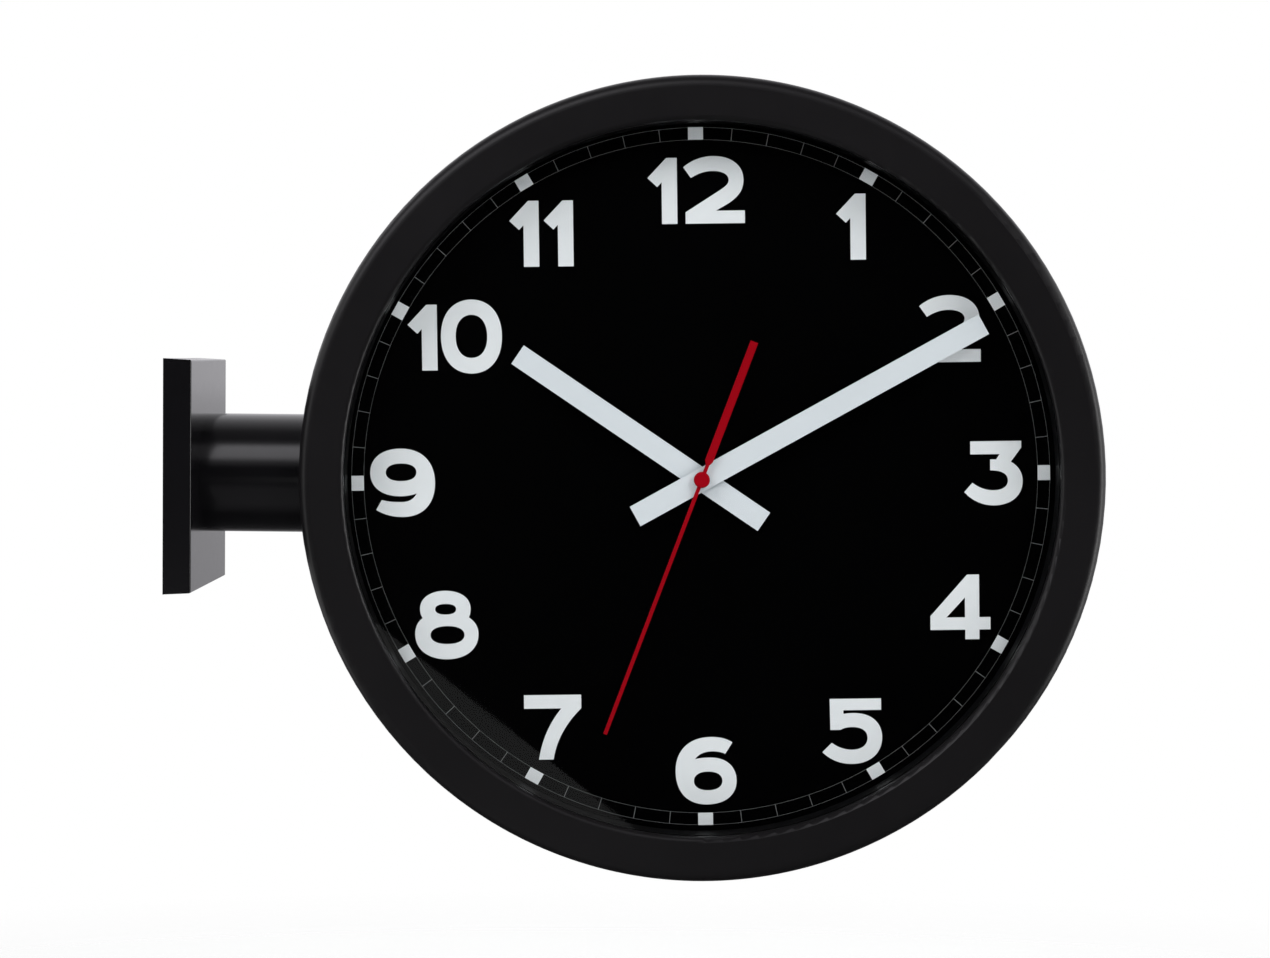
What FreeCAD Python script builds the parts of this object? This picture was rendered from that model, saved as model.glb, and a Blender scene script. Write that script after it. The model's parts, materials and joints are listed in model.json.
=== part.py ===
"""Double sided station clock on a wall arm.

A square wall plate carries a round arm, and the arm carries a drum 380 mm across with a dial on
each face.  Each dial, its glass, its bezel and its quartz movement form one insert that draws out
of the drum.  Lengths are millimetres.  The origin is the centre of the plate's back face, on the
wall: +X leads from the wall to the clock, -Y is the front dial's side and +Z is up.
"""

import FreeCAD, Part
import math
import operator
import os
import types

import Sketcher
from FreeCAD import Placement, Rotation, Vector

# Driving dimensions, in millimetres unless the name says otherwise.
SIZES = {
    # wall fixing
    "plate_width": 110.0,
    "plate_depth": 13.0,
    "plate_wall": 3.5,
    "plate_web": 4.0,
    "plate_draft_angle": 2.8,
    "plate_edge_round": 0.8,
    "bracket_thickness": 3.0,
    "bracket_clearance": 0.3,
    "bracket_side_gap": 2.0,
    "bracket_screw_spacing": 70.0,
    "bracket_screw_hole": 5.5,
    "grub_screw_diameter": 4.0,
    "grub_screw_length": 6.0,
    # arm
    "arm_reach": 251.0,
    "tube_diameter": 57.0,
    "tube_wall": 2.0,
    "cope_clearance": 0.2,
    "flange_length": 8.0,
    "flange_width": 11.5,
    "bolt_inset": 5.0,
    "bolt_diameter": 5.0,
    "bolt_length": 11.0,
    "bolt_head_diameter": 9.0,
    "bolt_head_height": 2.7,
    "bolt_hole_clearance": 0.3,
    "saddle_width": 52.0,
    "saddle_inset": 0.5,
    "saddle_dial_gap": 2.0,
    # case
    "case_diameter": 380.0,
    "middle_gap": 1.6,
    "drum_wall": 1.5,
    "tongue_gap": 1.5,
    "skirt_depth": 11.5,
    "skirt_clearance": 0.3,
    "seam_gap": 0.3,
    "bezel_width": 21.5,
    "bezel_wall": 3.0,
    "bezel_face": 4.0,
    "bezel_outer_round": 5.5,
    "bezel_lip_round": 2.5,
    "glass_overlap": 5.0,
    "glass_thickness": 3.0,
    "ring_wall": 1.8,
    "ring_flange": 1.8,
    "ring_edge_gap": 0.5,
    "boss_gap": 0.5,
    "boss_diameter": 8.0,
    "dial_thickness": 1.0,
    "dial_edge_inset": 0.5,
    "dial_screw_diameter": 3.0,
    "dial_screw_length": 8.0,
    "dial_screw_head": 5.6,
    "dial_screw_head_height": 2.0,
    "lock_screw_diameter": 4.0,
    # movement
    "movement_depth": 16.0,
    "movement_wall": 1.2,
    "movement_front_wall": 1.0,
    "bay_wall": 0.6,
    "bay_wheel_gap": 0.331,
    "cover_thickness": 1.2,
    "battery_diameter": 14.3,
    "battery_length": 50.5,
    "battery_clearance": 0.2,
    "battery_nub_diameter": 5.5,
    "battery_nub_length": 1.0,
    "contact_thickness": 0.5,
    "contact_reach": 0.85,
    "bushing_diameter": 8.0,
    "bushing_height": 5.0,
    "washer_diameter": 10.4,
    "washer_thickness": 0.6,
    "nut_flats": 10.0,
    "nut_height": 2.5,
    "knob_diameter": 12.0,
    "knob_height": 2.4,
    "knob_gap": 0.3,
    # gear train
    "fit_clearance": 0.05,
    "sleeve_clearance": 0.08,
    "arbor_diameter": 1.0,
    "setting_arbor_diameter": 1.2,
    "wheel_thickness": 0.7,
    "cover_wheel_gap": 1.5,
    "third_wheel_gap": 1.3,
    "magnet_wheel_gap": 0.4,
    "centre_wheel_gap": 0.4,
    "minute_wheel_gap": 1.2,
    "hour_wheel_gap": 1.7,
    "pivot_depth": 0.6,
    "second_shaft_diameter": 1.2,
    "minute_tube_diameter": 3.2,
    "hour_pipe_diameter": 4.9,
    "third_distance": 12.24,
    "motion_arbor_gap": 0.731,
    "intermediate_arbor_gap": 0.531,
    "rotor_distance": 8.4,
    "rotor_magnet_diameter": 6.0,
    "rotor_magnet_height": 2.6,
    "rotor_air_gap": 0.5,
    "stator_thickness": 1.0,
    "stator_leg": 3.0,
    "stator_height": 3.5,
    "stator_rise": 0.44,
    "coil_diameter": 6.8,
    "coil_length": 13.0,
    "board_thickness": 0.8,
    # hands, heights measured from the dial's front face to the underside of each hand
    "hand_width": 10.5,
    "hand_thickness": 0.8,
    "hour_hand_height": 5.7,
    "hour_tip_gap": 63.2,
    "hour_hand_tail": 35.7,
    "minute_hand_height": 8.1,
    "minute_tip_gap": 16.7,
    "minute_hand_tail": 36.0,
    "second_hand_height": 10.6,
    "second_hand_thickness": 0.5,
    "second_needle_width": 1.8,
    "second_tip_gap": 39.5,
    "second_tail_width": 3.8,
    "second_tail_length": 69.7,
    "second_tail_start": 9.5,
    "second_hub_diameter": 7.6,
    "second_hub_height": 1.4,
    "second_hub_round": 0.5,
    "hand_boss_step": 0.3,
    "hand_glass_gap": 1.0,
}

BOLT_ANGLES = (45.0, 135.0, 225.0, 315.0)
DIAL_SCREW_ANGLES = (30.0, 90.0, 150.0, 210.0, 270.0, 330.0)
LOCK_SCREW_ANGLES = (30.0, 150.0, 270.0)

# Directions of the arbors round the hands' axis, in degrees anticlockwise from 3 o'clock.
THIRD_DIRECTION = 150.0
MOTION_DIRECTION = 10.0
INTERMEDIATE_DIRECTION = 75.0
ROTOR_DIRECTION = 60.0

# Teeth of each wheel and pinion of the train.
ROTOR_PINION = 6
INTERMEDIATE_WHEEL = 36
INTERMEDIATE_PINION = 8
SECONDS_WHEEL = 40
SECONDS_PINION = 8
THIRD_WHEEL = 60
THIRD_PINION = 8
CENTRE_WHEEL = 64
CANNON_PINION = 12
MINUTE_WHEEL = 36
MINUTE_PINION = 10
HOUR_WHEEL = 40

# Tooth shape, as shares of the tooth's pitch or of the module.
TOOTH_TIP_SHARE = 0.20
TOOTH_PITCH_SHARE = 0.42
TOOTH_ROOT_SHARE = 0.56
ADDENDUM = 0.85
DEDENDUM = 1.25

# Screw shapes, as shares of a screw's own diameter, radius, head or length.
SOCKET_WIDTH = 0.6
SOCKET_DEPTH = 0.6
GRUB_TIP = 0.4
GRUB_SOCKET_DEPTH = 0.45

# The time shown, as each hand's angle clockwise from 12 in degrees.
HOUR_ANGLE = 303.6
MINUTE_ANGLE = 60.5
SECOND_ANGLE = 200.2

OPERATIONS = {
    "+": operator.add,
    "-": operator.sub,
    "*": operator.mul,
    "/": operator.truediv,
}


class Size:
    """A length that knows its number and the sheet cells that it is worked out from."""

    def __init__(self, number, text):
        self.number = number
        self.text = text

    def __float__(self):
        return self.number

    def __add__(self, other):
        return joined(self, "+", other)

    def __radd__(self, other):
        return joined(other, "+", self)

    def __sub__(self, other):
        return joined(self, "-", other)

    def __rsub__(self, other):
        return joined(other, "-", self)

    def __mul__(self, other):
        return joined(self, "*", other)

    def __rmul__(self, other):
        return joined(other, "*", self)

    def __truediv__(self, other):
        return joined(self, "/", other)

    def __neg__(self):
        return joined(0.0, "-", self)


def as_size(value):
    """The value itself if it is a Size, or else a Size with no cells behind it."""
    if isinstance(value, Size):
        return value
    return Size(float(value), f"({float(value):.9g})")


def joined(left, sign, right):
    """Two sizes joined by an operation, in number and in text."""
    left = as_size(left)
    right = as_size(right)
    number = OPERATIONS[sign](left.number, right.number)
    return Size(number, f"({left.text} {sign} {right.text})")


# ---------------------------------------------------------------------------------------------
# the document and its sheet
# ---------------------------------------------------------------------------------------------

doc = FreeCAD.newDocument("StationClock")
sheet = doc.addObject("Spreadsheet::Sheet", "Sizes")
for row, (alias, number) in enumerate(SIZES.items(), start=1):
    sheet.set(f"A{row}", alias)
    sheet.set(f"B{row}", f"{number:g}")
    sheet.setAlias(f"B{row}", alias)
doc.recompute()
s = types.SimpleNamespace(**{alias: Size(float(sheet.get(alias)), f"Sizes.{alias}") for alias in SIZES})

pieces = []
cuts = []


def bind(feature, name, size):
    """Set a property of a feature by the sheet's cells."""
    feature.setExpression(name, as_size(size).text)


def plane_of(body, role):
    """An origin plane or axis of a body, by its role."""
    return next(item for item in body.Origin.OriginFeatures if item.Role == role)


def new_body(name, frame):
    """A body whose own frame is given by a placement, kept as one of the clock's pieces."""
    body = doc.addObject("PartDesign::Body", name)
    body.Label = name
    pieces.append((body, frame))
    return body


def new_sketch(body, role, height=0.0):
    """A sketch on one of the body's origin planes, moved along the plane's normal by height."""
    sketch = body.newObject("Sketcher::SketchObject", f"{body.Name}_sketch")
    sketch.AttachmentSupport = (plane_of(body, role), [""])
    sketch.MapMode = "FlatFace"
    bind(sketch, "AttachmentOffset.Base.z", height)
    return sketch


def constrain_point(sketch, shape, corner, x, y):
    """Hold a point of a sketch at x and y from the sketch's origin."""
    for kind, size in (("DistanceX", x), ("DistanceY", y)):
        index = sketch.addConstraint(Sketcher.Constraint(kind, -1, 1, shape, corner, float(size)))
        sketch.setExpression(f"Constraints[{index}]", as_size(size).text)


def add_polygon(sketch, corners):
    """Draw a closed polygon whose corners are pairs of sizes."""
    first = sketch.GeometryCount
    count = len(corners)
    for number, (x, y) in enumerate(corners):
        x_next, y_next = corners[(number + 1) % count]
        start = Vector(float(x), float(y), 0)
        end = Vector(float(x_next), float(y_next), 0)
        sketch.addGeometry(Part.LineSegment(start, end))
    for number, (x, y) in enumerate(corners):
        before = first + (number - 1) % count
        sketch.addConstraint(Sketcher.Constraint("Coincident", before, 2, first + number, 1))
        constrain_point(sketch, first + number, 1, x, y)


def add_circle(sketch, x, y, radius):
    """Draw a circle held at x and y."""
    centre = Vector(float(x), float(y), 0)
    shape = sketch.addGeometry(Part.Circle(centre, Vector(0, 0, 1), float(radius)))
    constrain_point(sketch, shape, 3, x, y)
    index = sketch.addConstraint(Sketcher.Constraint("Radius", shape, float(radius)))
    sketch.setExpression(f"Constraints[{index}]", as_size(radius).text)


def rectangle(x_low, y_low, x_high, y_high):
    """The corners of an upright rectangle."""
    return [(x_low, y_low), (x_high, y_low), (x_high, y_high), (x_low, y_high)]


def ring_profile(inner, outer, low, high):
    """The section of a plain ring, as pairs of radius and height."""
    return rectangle(inner, low, outer, high)


def on_circle(diameter, angle):
    """The point at an angle on a circle of a diameter, as a pair of sizes."""
    turn = math.radians(angle)
    radius = diameter / 2
    return radius * math.cos(turn), radius * math.sin(turn)


def revolve(body, profile):
    """Turn a section of radius and height pairs once round the body's Z axis."""
    sketch = new_sketch(body, "XZ_Plane")
    add_polygon(sketch, profile)
    turned = body.newObject("PartDesign::Revolution", f"{body.Name}_turned")
    turned.Profile = sketch
    turned.ReferenceAxis = (sketch, ["V_Axis"])
    turned.Angle = 360.0
    return turned


def pad(body, draw, low, high, taper=None):
    """Raise the outline that draw puts on a sketch from one height to another."""
    sketch = new_sketch(body, "XY_Plane", low)
    draw(sketch)
    raised = body.newObject("PartDesign::Pad", f"{body.Name}_pad")
    raised.Profile = sketch
    bind(raised, "Length", high - low)
    if taper is not None:
        bind(raised, "TaperAngle", taper)
    return raised


def pocket(body, draw, low, high):
    """Cut the outline that draw puts on a sketch from one height to another."""
    sketch = new_sketch(body, "XY_Plane", low)
    draw(sketch)
    cut = body.newObject("PartDesign::Pocket", f"{body.Name}_cut")
    cut.Profile = sketch
    cut.Reversed = True
    bind(cut, "Length", high - low)
    cuts.append((cut, body))
    return cut


def circles(places, radius):
    """A drawing of equal circles at places that are pairs of sizes."""

    def draw(sketch):
        for x, y in places:
            add_circle(sketch, x, y, radius)

    return draw


def polygon(corners):
    """A drawing of one polygon."""

    def draw(sketch):
        add_polygon(sketch, corners)

    return draw


def circle_edges(shape, radius, height):
    """Names of the full circles about Z of a radius and height on a shape."""
    names = []
    for number, edge in enumerate(shape.Edges, start=1):
        if not isinstance(edge.Curve, Part.Circle):
            continue
        centre = edge.Curve.Center
        about_z = math.hypot(centre.x, centre.y) < 0.01
        if about_z and abs(centre.z - height) < 0.01 and abs(edge.Curve.Radius - radius) < 0.01:
            names.append(f"Edge{number}")
    return names


def round_circle(body, base, edge_radius, height, round_radius):
    """Round the circular edge of a body that lies at a radius and height."""
    doc.recompute()
    rounded = body.newObject("PartDesign::Fillet", f"{body.Name}_round")
    rounded.Base = (base, circle_edges(base.Shape, float(edge_radius), float(height)))
    bind(rounded, "Radius", round_radius)
    return rounded


def add_shape(name, shape, frame):
    """A piece whose shape is worked out directly."""
    feature = doc.addObject("Part::Feature", name)
    feature.Label = name
    feature.Shape = shape
    pieces.append((feature, frame))
    return feature


# ---------------------------------------------------------------------------------------------
# frames: where each group of pieces stands
# ---------------------------------------------------------------------------------------------

CASE_CENTRE = Vector(float(s.arm_reach), 0, 0)
WALL_FRAME = Placement(Vector(0, 0, 0), Rotation(Vector(0, 1, 0), 90))
FRONT_FRAME = Placement(CASE_CENTRE, Rotation(Vector(1, 0, 0), 90))
REAR_FRAME = Placement(CASE_CENTRE, Rotation(Vector(0, 0, 1), 180) * Rotation(Vector(1, 0, 0), 90))


def hand_frame(frame, clockwise_angle):
    """A dial's frame turned so that a hand drawn at 12 shows its angle."""
    return frame * Placement(Vector(0, 0, 0), Rotation(Vector(0, 0, 1), -clockwise_angle))


# ---------------------------------------------------------------------------------------------
# heights on each side, measured outwards from the middle of the case
# ---------------------------------------------------------------------------------------------

case_radius = s.case_diameter / 2
window_radius = case_radius - s.bezel_width
knob_low = s.middle_gap
knob_high = knob_low + s.knob_height
cover_outer = knob_high + s.knob_gap
movement_back = cover_outer + s.cover_thickness
movement_front = movement_back + s.movement_depth
dial_back = movement_front
dial_front = dial_back + s.dial_thickness
hub_top = dial_front + s.second_hand_height + s.second_hub_height
glass_low = hub_top + s.hand_glass_gap
lip_height = glass_low + s.glass_thickness
face_height = lip_height + s.bezel_face
case_depth = face_height * 2
band_end = face_height - s.skirt_depth
tongue_end = lip_height - s.tongue_gap
skirt_end = band_end + s.seam_gap
skirt_inner = case_radius - s.bezel_wall
tongue_outer = skirt_inner - s.skirt_clearance
tongue_inner = tongue_outer - s.drum_wall
band_inner = case_radius - s.drum_wall
glass_radius = window_radius + s.glass_overlap
boss_radius = s.boss_diameter / 2
boss_circle = (glass_radius + s.boss_gap + boss_radius) * 2
dial_radius = boss_circle / 2 + boss_radius - s.dial_edge_inset

centre_wheel_tip = s.third_distance * (CENTRE_WHEEL + 2 * ADDENDUM) / (CENTRE_WHEEL + THIRD_PINION)
chamber_front = movement_front - s.movement_front_wall
chamber_low = -centre_wheel_tip - s.bay_wheel_gap
half_chamber = s.battery_length / 2 + s.battery_clearance + s.contact_reach + s.contact_thickness
half_movement = half_chamber + s.movement_wall
battery_radius = s.battery_diameter / 2
bay_high = chamber_low - s.bay_wall
bay_low = bay_high - s.battery_diameter - 2 * s.battery_clearance
battery_middle = (bay_low + bay_high) / 2
battery_height = chamber_front - s.battery_clearance - battery_radius
bushing_top = dial_front + s.bushing_height
hour_hand_low = dial_front + s.hour_hand_height
minute_hand_low = dial_front + s.minute_hand_height
second_hand_low = dial_front + s.second_hand_height

arbor_radius = s.arbor_diameter / 2
setting_radius = s.setting_arbor_diameter / 2
second_shaft_radius = s.second_shaft_diameter / 2
minute_tube_radius = s.minute_tube_diameter / 2
minute_tube_bore = second_shaft_radius + s.sleeve_clearance
hour_pipe_radius = s.hour_pipe_diameter / 2
hour_pipe_bore = minute_tube_radius + s.sleeve_clearance
bushing_bore = hour_pipe_radius + s.sleeve_clearance


def polar(distance, direction, start=(0.0, 0.0)):
    """The point at a distance and direction from a start, as a pair of sizes."""
    turn = math.radians(direction)
    return start[0] + distance * math.cos(turn), start[1] + distance * math.sin(turn)


HAND_AXIS = (as_size(0.0), as_size(0.0))
motion_distance = centre_wheel_tip + s.motion_arbor_gap + setting_radius
intermediate_distance = centre_wheel_tip + s.intermediate_arbor_gap + arbor_radius
third_axis = polar(s.third_distance, THIRD_DIRECTION)
motion_axis = polar(motion_distance, MOTION_DIRECTION)
intermediate_axis = polar(intermediate_distance, INTERMEDIATE_DIRECTION)
rotor_axis = polar(s.rotor_distance, ROTOR_DIRECTION, intermediate_axis)


# ---------------------------------------------------------------------------------------------
# screws
# ---------------------------------------------------------------------------------------------


def hex_prism(flats, height):
    """A six-sided prism standing on Z = 0."""
    corner = float(flats) / math.sqrt(3)
    ring = [
        Vector(corner * math.cos(math.radians(60 * n)), corner * math.sin(math.radians(60 * n)), 0)
        for n in range(6)
    ]
    return Part.Face(Part.makePolygon(ring + ring[:1])).extrude(Vector(0, 0, float(height)))


def headed_screw(diameter, length, head_diameter, head_height):
    """A screw along +Z: its shank starts at Z = 0 and its head lies below."""
    head_height = float(head_height)
    shank = Part.makeCylinder(float(diameter) / 2, float(length))
    head = Part.makeCylinder(float(head_diameter) / 2, head_height, Vector(0, 0, -head_height))
    whole = shank.fuse(head).removeSplitter()
    socket = hex_prism(float(diameter) * SOCKET_WIDTH, head_height * SOCKET_DEPTH)
    socket.translate(Vector(0, 0, -head_height))
    return whole.cut(socket)


def headless_screw(diameter, length):
    """A grub screw along +Z from its socket end at Z = 0, with a chamfered tip."""
    radius = float(diameter) / 2
    length = float(length)
    tip = radius * GRUB_TIP
    body = Part.makeCylinder(radius, length - tip)
    cone = Part.makeCone(radius, radius - tip, tip, Vector(0, 0, length - tip))
    socket = hex_prism(radius, length * GRUB_SOCKET_DEPTH)
    return body.fuse(cone).cut(socket)


def set_at(shape, place, direction):
    """A copy of a shape made along +Z, moved to a place and pointed along a direction."""
    moved = shape.copy()
    moved.Placement = Placement(place, Rotation(Vector(0, 0, 1), direction))
    return moved


# ---------------------------------------------------------------------------------------------
# wall fixing and arm
# ---------------------------------------------------------------------------------------------

half_plate = s.plate_width / 2
plate_inner = half_plate - s.plate_wall
web_inner = s.plate_depth - s.plate_web
flange_outer = plate_inner - s.bracket_clearance
flange_inner = flange_outer - s.bracket_thickness
flange_end = web_inner - s.bracket_clearance
grub_screw_height = (s.bracket_thickness + flange_end) / 2
tube_bore_radius = s.tube_diameter / 2 - s.tube_wall
plug_radius = tube_bore_radius - s.fit_clearance
flange_bore_radius = tube_bore_radius - s.flange_width
bolt_places = [on_circle((tube_bore_radius - s.bolt_inset) * 2, angle) for angle in BOLT_ANGLES]
bolt_hole_radius = s.bolt_diameter / 2 + s.bolt_hole_clearance
bolt_thread_radius = s.bolt_diameter / 2 + s.fit_clearance


def corners_at(spacing):
    """The four corners of a square of a spacing."""
    half = spacing / 2
    return [(half, half), (-half, half), (-half, -half), (half, -half)]


def make_wall_bracket():
    """Pressed steel tray that is screwed to the wall, with a flange along its top and bottom."""
    body = new_body("wall_bracket", WALL_FRAME)
    side = plate_inner - s.bracket_side_gap
    pad(body, polygon(rectangle(-flange_outer, -side, flange_outer, side)), as_size(0), s.bracket_thickness)
    for low, high in ((flange_inner, flange_outer), (-flange_outer, -flange_inner)):
        pad(body, polygon(rectangle(low, -side, high, side)), s.bracket_thickness, flange_end)
    holes = circles(corners_at(s.bracket_screw_spacing), s.bracket_screw_hole / 2)
    pocket(body, holes, as_size(0), s.bracket_thickness)
    cut_cross_holes(body, s.grub_screw_diameter / 2 + s.fit_clearance)


def cut_cross_holes(body, radius):
    """Holes for the two grub screws, upwards and downwards through a body of the wall fixing."""
    sketch = new_sketch(body, "YZ_Plane")
    add_circle(sketch, as_size(0), grub_screw_height, radius)
    cut = body.newObject("PartDesign::Pocket", f"{body.Name}_cross")
    cut.Profile = sketch
    cut.Midplane = True
    bind(cut, "Length", s.plate_width + 2 * s.plate_wall)
    cuts.append((cut, body))


def make_wall_plate():
    """Square cover with slightly drawn-in sides that hides the bracket and carries the arm."""
    body = new_body("wall_plate", WALL_FRAME)
    outline = polygon(rectangle(-half_plate, -half_plate, half_plate, half_plate))
    block = pad(body, outline, as_size(0), s.plate_depth, -s.plate_draft_angle)
    doc.recompute()
    rounded = body.newObject("PartDesign::Fillet", "wall_plate_round")
    rounded.Base = (block, face_edges(block.Shape, s.plate_depth))
    bind(rounded, "Radius", s.plate_edge_round)
    hollow = polygon(rectangle(-plate_inner, -plate_inner, plate_inner, plate_inner))
    pocket(body, hollow, as_size(0), web_inner)
    pocket(body, circles(bolt_places, bolt_hole_radius), web_inner, s.plate_depth)
    cut_cross_holes(body, s.grub_screw_diameter / 2 + s.fit_clearance)


def face_edges(shape, height):
    """Names of the edges of a shape that lie at a height."""
    names = []
    for number, edge in enumerate(shape.Edges, start=1):
        box = edge.BoundBox
        if box.ZLength < 0.001 and abs(box.ZMin - float(height)) < 0.01:
            names.append(f"Edge{number}")
    return names


def make_bracket_grub_screws():
    """Two grub screws that lock the cover on the bracket, above and below."""
    screw = headless_screw(s.grub_screw_diameter, s.grub_screw_length)
    start = float(flange_inner + s.grub_screw_length)
    x = float(grub_screw_height)
    both = [
        set_at(screw, Vector(x, 0, start), Vector(0, 0, -1)),
        set_at(screw, Vector(x, 0, -start), Vector(0, 0, 1)),
    ]
    add_shape("bracket_grub_screws", Part.makeCompound(both), Placement())


def cope_cylinder(name, clearance):
    """A round block as wide as the drum, for shaping what meets the drum's curved wall."""
    block = doc.addObject("Part::Cylinder", name)
    bind(block, "Radius", case_radius + clearance)
    bind(block, "Height", case_depth)
    block.Placement = FRONT_FRAME * Placement(Vector(0, 0, -float(face_height)), Rotation())
    return block


def along_arm(name, radius, start, end):
    """A round bar along the arm between two distances from the wall."""
    bar = doc.addObject("Part::Cylinder", name)
    bind(bar, "Radius", radius)
    bind(bar, "Height", end - start)
    bar.Placement = Placement(Vector(float(start), 0, 0), Rotation(Vector(0, 1, 0), 90))
    return bar


def cut_by(name, base, tool):
    """One object less another."""
    cut = doc.addObject("Part::Cut", name)
    cut.Base = base
    cut.Tool = tool
    return cut


def keep(feature, name):
    """Count a finished object that already stands in place as one of the clock's pieces."""
    feature.Label = name
    pieces.append((feature, None))


arm_past_cope = s.arm_reach - case_radius + s.tube_diameter / 4
saddle_face_radius = dial_radius + s.saddle_dial_gap


def make_arm_tube():
    """Steel tube from the wall plate to the drum, with its end shaped to the drum's wall."""
    outer = along_arm("tube_outer", s.tube_diameter / 2, s.plate_depth, arm_past_cope)
    inner = along_arm("tube_inner", tube_bore_radius, s.plate_depth, arm_past_cope)
    wall = cut_by("tube_wall_cut", outer, inner)
    keep(cut_by("arm_tube", wall, cope_cylinder("tube_cope", s.cope_clearance)), "arm_tube")


def bolt_bars(name, radius, start, end):
    """Four bars along the arm on the bolt circle, joined as one cutting tool."""
    bars = []
    for number, (y, z) in enumerate(bolt_places):
        bar = along_arm(f"{name}_{number}", radius, start, end)
        bar.Placement.Base = Vector(float(start), float(y), float(z))
        bars.append(bar)
    group = doc.addObject("Part::MultiFuse", name)
    group.Shapes = bars
    return group


def make_wall_end_flange():
    """Threaded ring inside the tube at the wall."""
    body = new_body("wall_end_flange", WALL_FRAME)
    end = s.plate_depth + s.flange_length
    revolve(body, ring_profile(flange_bore_radius, plug_radius, s.plate_depth, end))
    pocket(body, circles(bolt_places, bolt_thread_radius), s.plate_depth, end)


def make_case_end_flange():
    """Threaded ring inside the tube at the drum, with its face shaped to the drum's wall."""
    start = s.arm_reach - case_radius - s.flange_length
    disc = along_arm("flange_disc", plug_radius, start, arm_past_cope)
    bore = along_arm("flange_hole", flange_bore_radius, start, arm_past_cope)
    ring = cut_by("flange_ring", disc, bore)
    coped = cut_by("flange_coped", ring, cope_cylinder("flange_cope", s.cope_clearance))
    threads = bolt_bars("flange_threads", bolt_thread_radius, start, arm_past_cope)
    keep(cut_by("case_end_flange", coped, threads), "case_end_flange")


def make_backing_saddle():
    """Block inside the drum that spreads the bolts' pull: curved outside, flat inside."""
    radius = band_inner - s.cope_clearance
    block = doc.addObject("Part::Box", "saddle_block")
    inner_face = s.arm_reach - saddle_face_radius
    depth = (band_inner - saddle_face_radius) * 2
    height = s.tube_diameter - 2 * s.saddle_inset
    bind(block, "Length", depth)
    bind(block, "Width", s.saddle_width)
    bind(block, "Height", height)
    corner = Vector(float(inner_face - depth), -float(s.saddle_width) / 2, -float(height) / 2)
    block.Placement = Placement(corner, Rotation())
    drum = doc.addObject("Part::Cylinder", "saddle_curve")
    bind(drum, "Radius", radius)
    bind(drum, "Height", case_depth)
    drum.Placement = FRONT_FRAME * Placement(Vector(0, 0, -float(face_height)), Rotation())
    curved = doc.addObject("Part::Common", "saddle_curved")
    curved.Base = block
    curved.Tool = drum
    holes = bolt_bars("saddle_holes", bolt_hole_radius, inner_face - depth, inner_face + depth)
    keep(cut_by("backing_saddle", curved, holes), "backing_saddle")


def make_arm_bolts():
    """Eight socket screws: four hold the tube to the wall plate and four hold the drum to the tube."""
    bolt = headed_screw(s.bolt_diameter, s.bolt_length, s.bolt_head_diameter, s.bolt_head_height)
    wall_head = float(web_inner)
    case_head = float(s.arm_reach - saddle_face_radius)
    bolts = []
    for y, z in bolt_places:
        bolts.append(set_at(bolt, Vector(wall_head, float(y), float(z)), Vector(1, 0, 0)))
        bolts.append(set_at(bolt, Vector(case_head, float(y), float(z)), Vector(-1, 0, 0)))
    add_shape("arm_bolts", Part.makeCompound(bolts), Placement())


# ---------------------------------------------------------------------------------------------
# case
# ---------------------------------------------------------------------------------------------


def make_case_drum():
    """Rolled band of the case. Its ends step inwards and run under the bezels' skirts."""
    body = new_body("case_drum", FRONT_FRAME)
    half = [
        (band_inner, band_end - s.drum_wall),
        (tongue_inner, band_end - s.drum_wall),
        (tongue_inner, tongue_end),
        (tongue_outer, tongue_end),
        (tongue_outer, band_end),
        (case_radius, band_end),
    ]
    other = [(radius, -height) for radius, height in reversed(half)]
    revolve(body, half + other)
    sketch = new_sketch(body, "YZ_Plane")
    for side, up in bolt_places:
        add_circle(sketch, up, side, bolt_hole_radius)
    cut = body.newObject("PartDesign::Pocket", "case_drum_bolt_holes")
    cut.Profile = sketch
    bind(cut, "Length", case_radius + s.drum_wall)
    cuts.append((cut, body))


def make_bezel(side, frame):
    """Front ring of an insert, with a skirt over the drum's end and six bosses for the dial."""
    body = new_body(f"{side}_bezel", frame)
    profile = [
        (case_radius, skirt_end),
        (case_radius, face_height),
        (window_radius, face_height),
        (window_radius, lip_height),
        (skirt_inner, lip_height),
        (skirt_inner, skirt_end),
    ]
    turned = revolve(body, profile)
    outer = round_circle(body, turned, case_radius, face_height, s.bezel_outer_round)
    round_circle(body, outer, window_radius, face_height, s.bezel_lip_round)
    places = [on_circle(boss_circle, angle) for angle in DIAL_SCREW_ANGLES]
    pad(body, circles(places, boss_radius), dial_front, lip_height + s.bezel_face / 4)
    thread = s.dial_screw_diameter / 2 + s.fit_clearance
    pocket(body, circles(places, thread), dial_front, dial_front + s.dial_screw_length)
    cut_lock_holes(body)


lock_screw_height = (skirt_end + tongue_end) / 2


def cut_lock_holes(body):
    """Radial threaded holes of the bezel's skirt, one for each lock screw."""
    sketch = new_sketch(body, "XZ_Plane")
    add_circle(sketch, as_size(0), lock_screw_height, s.lock_screw_diameter / 2 + s.fit_clearance)
    hole = body.newObject("PartDesign::Pocket", f"{body.Name}_lock_hole")
    hole.Profile = sketch
    hole.Reversed = True
    bind(hole, "Length", case_radius + s.bezel_wall)
    turn = body.newObject("PartDesign::PolarPattern", f"{body.Name}_lock_holes")
    turn.Originals = [hole]
    turn.Axis = (plane_of(body, "Z_Axis"), [""])
    turn.Angle = 360.0
    turn.Occurrences = len(LOCK_SCREW_ANGLES)
    body.Tip = turn
    cuts.append((hole, body))


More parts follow.
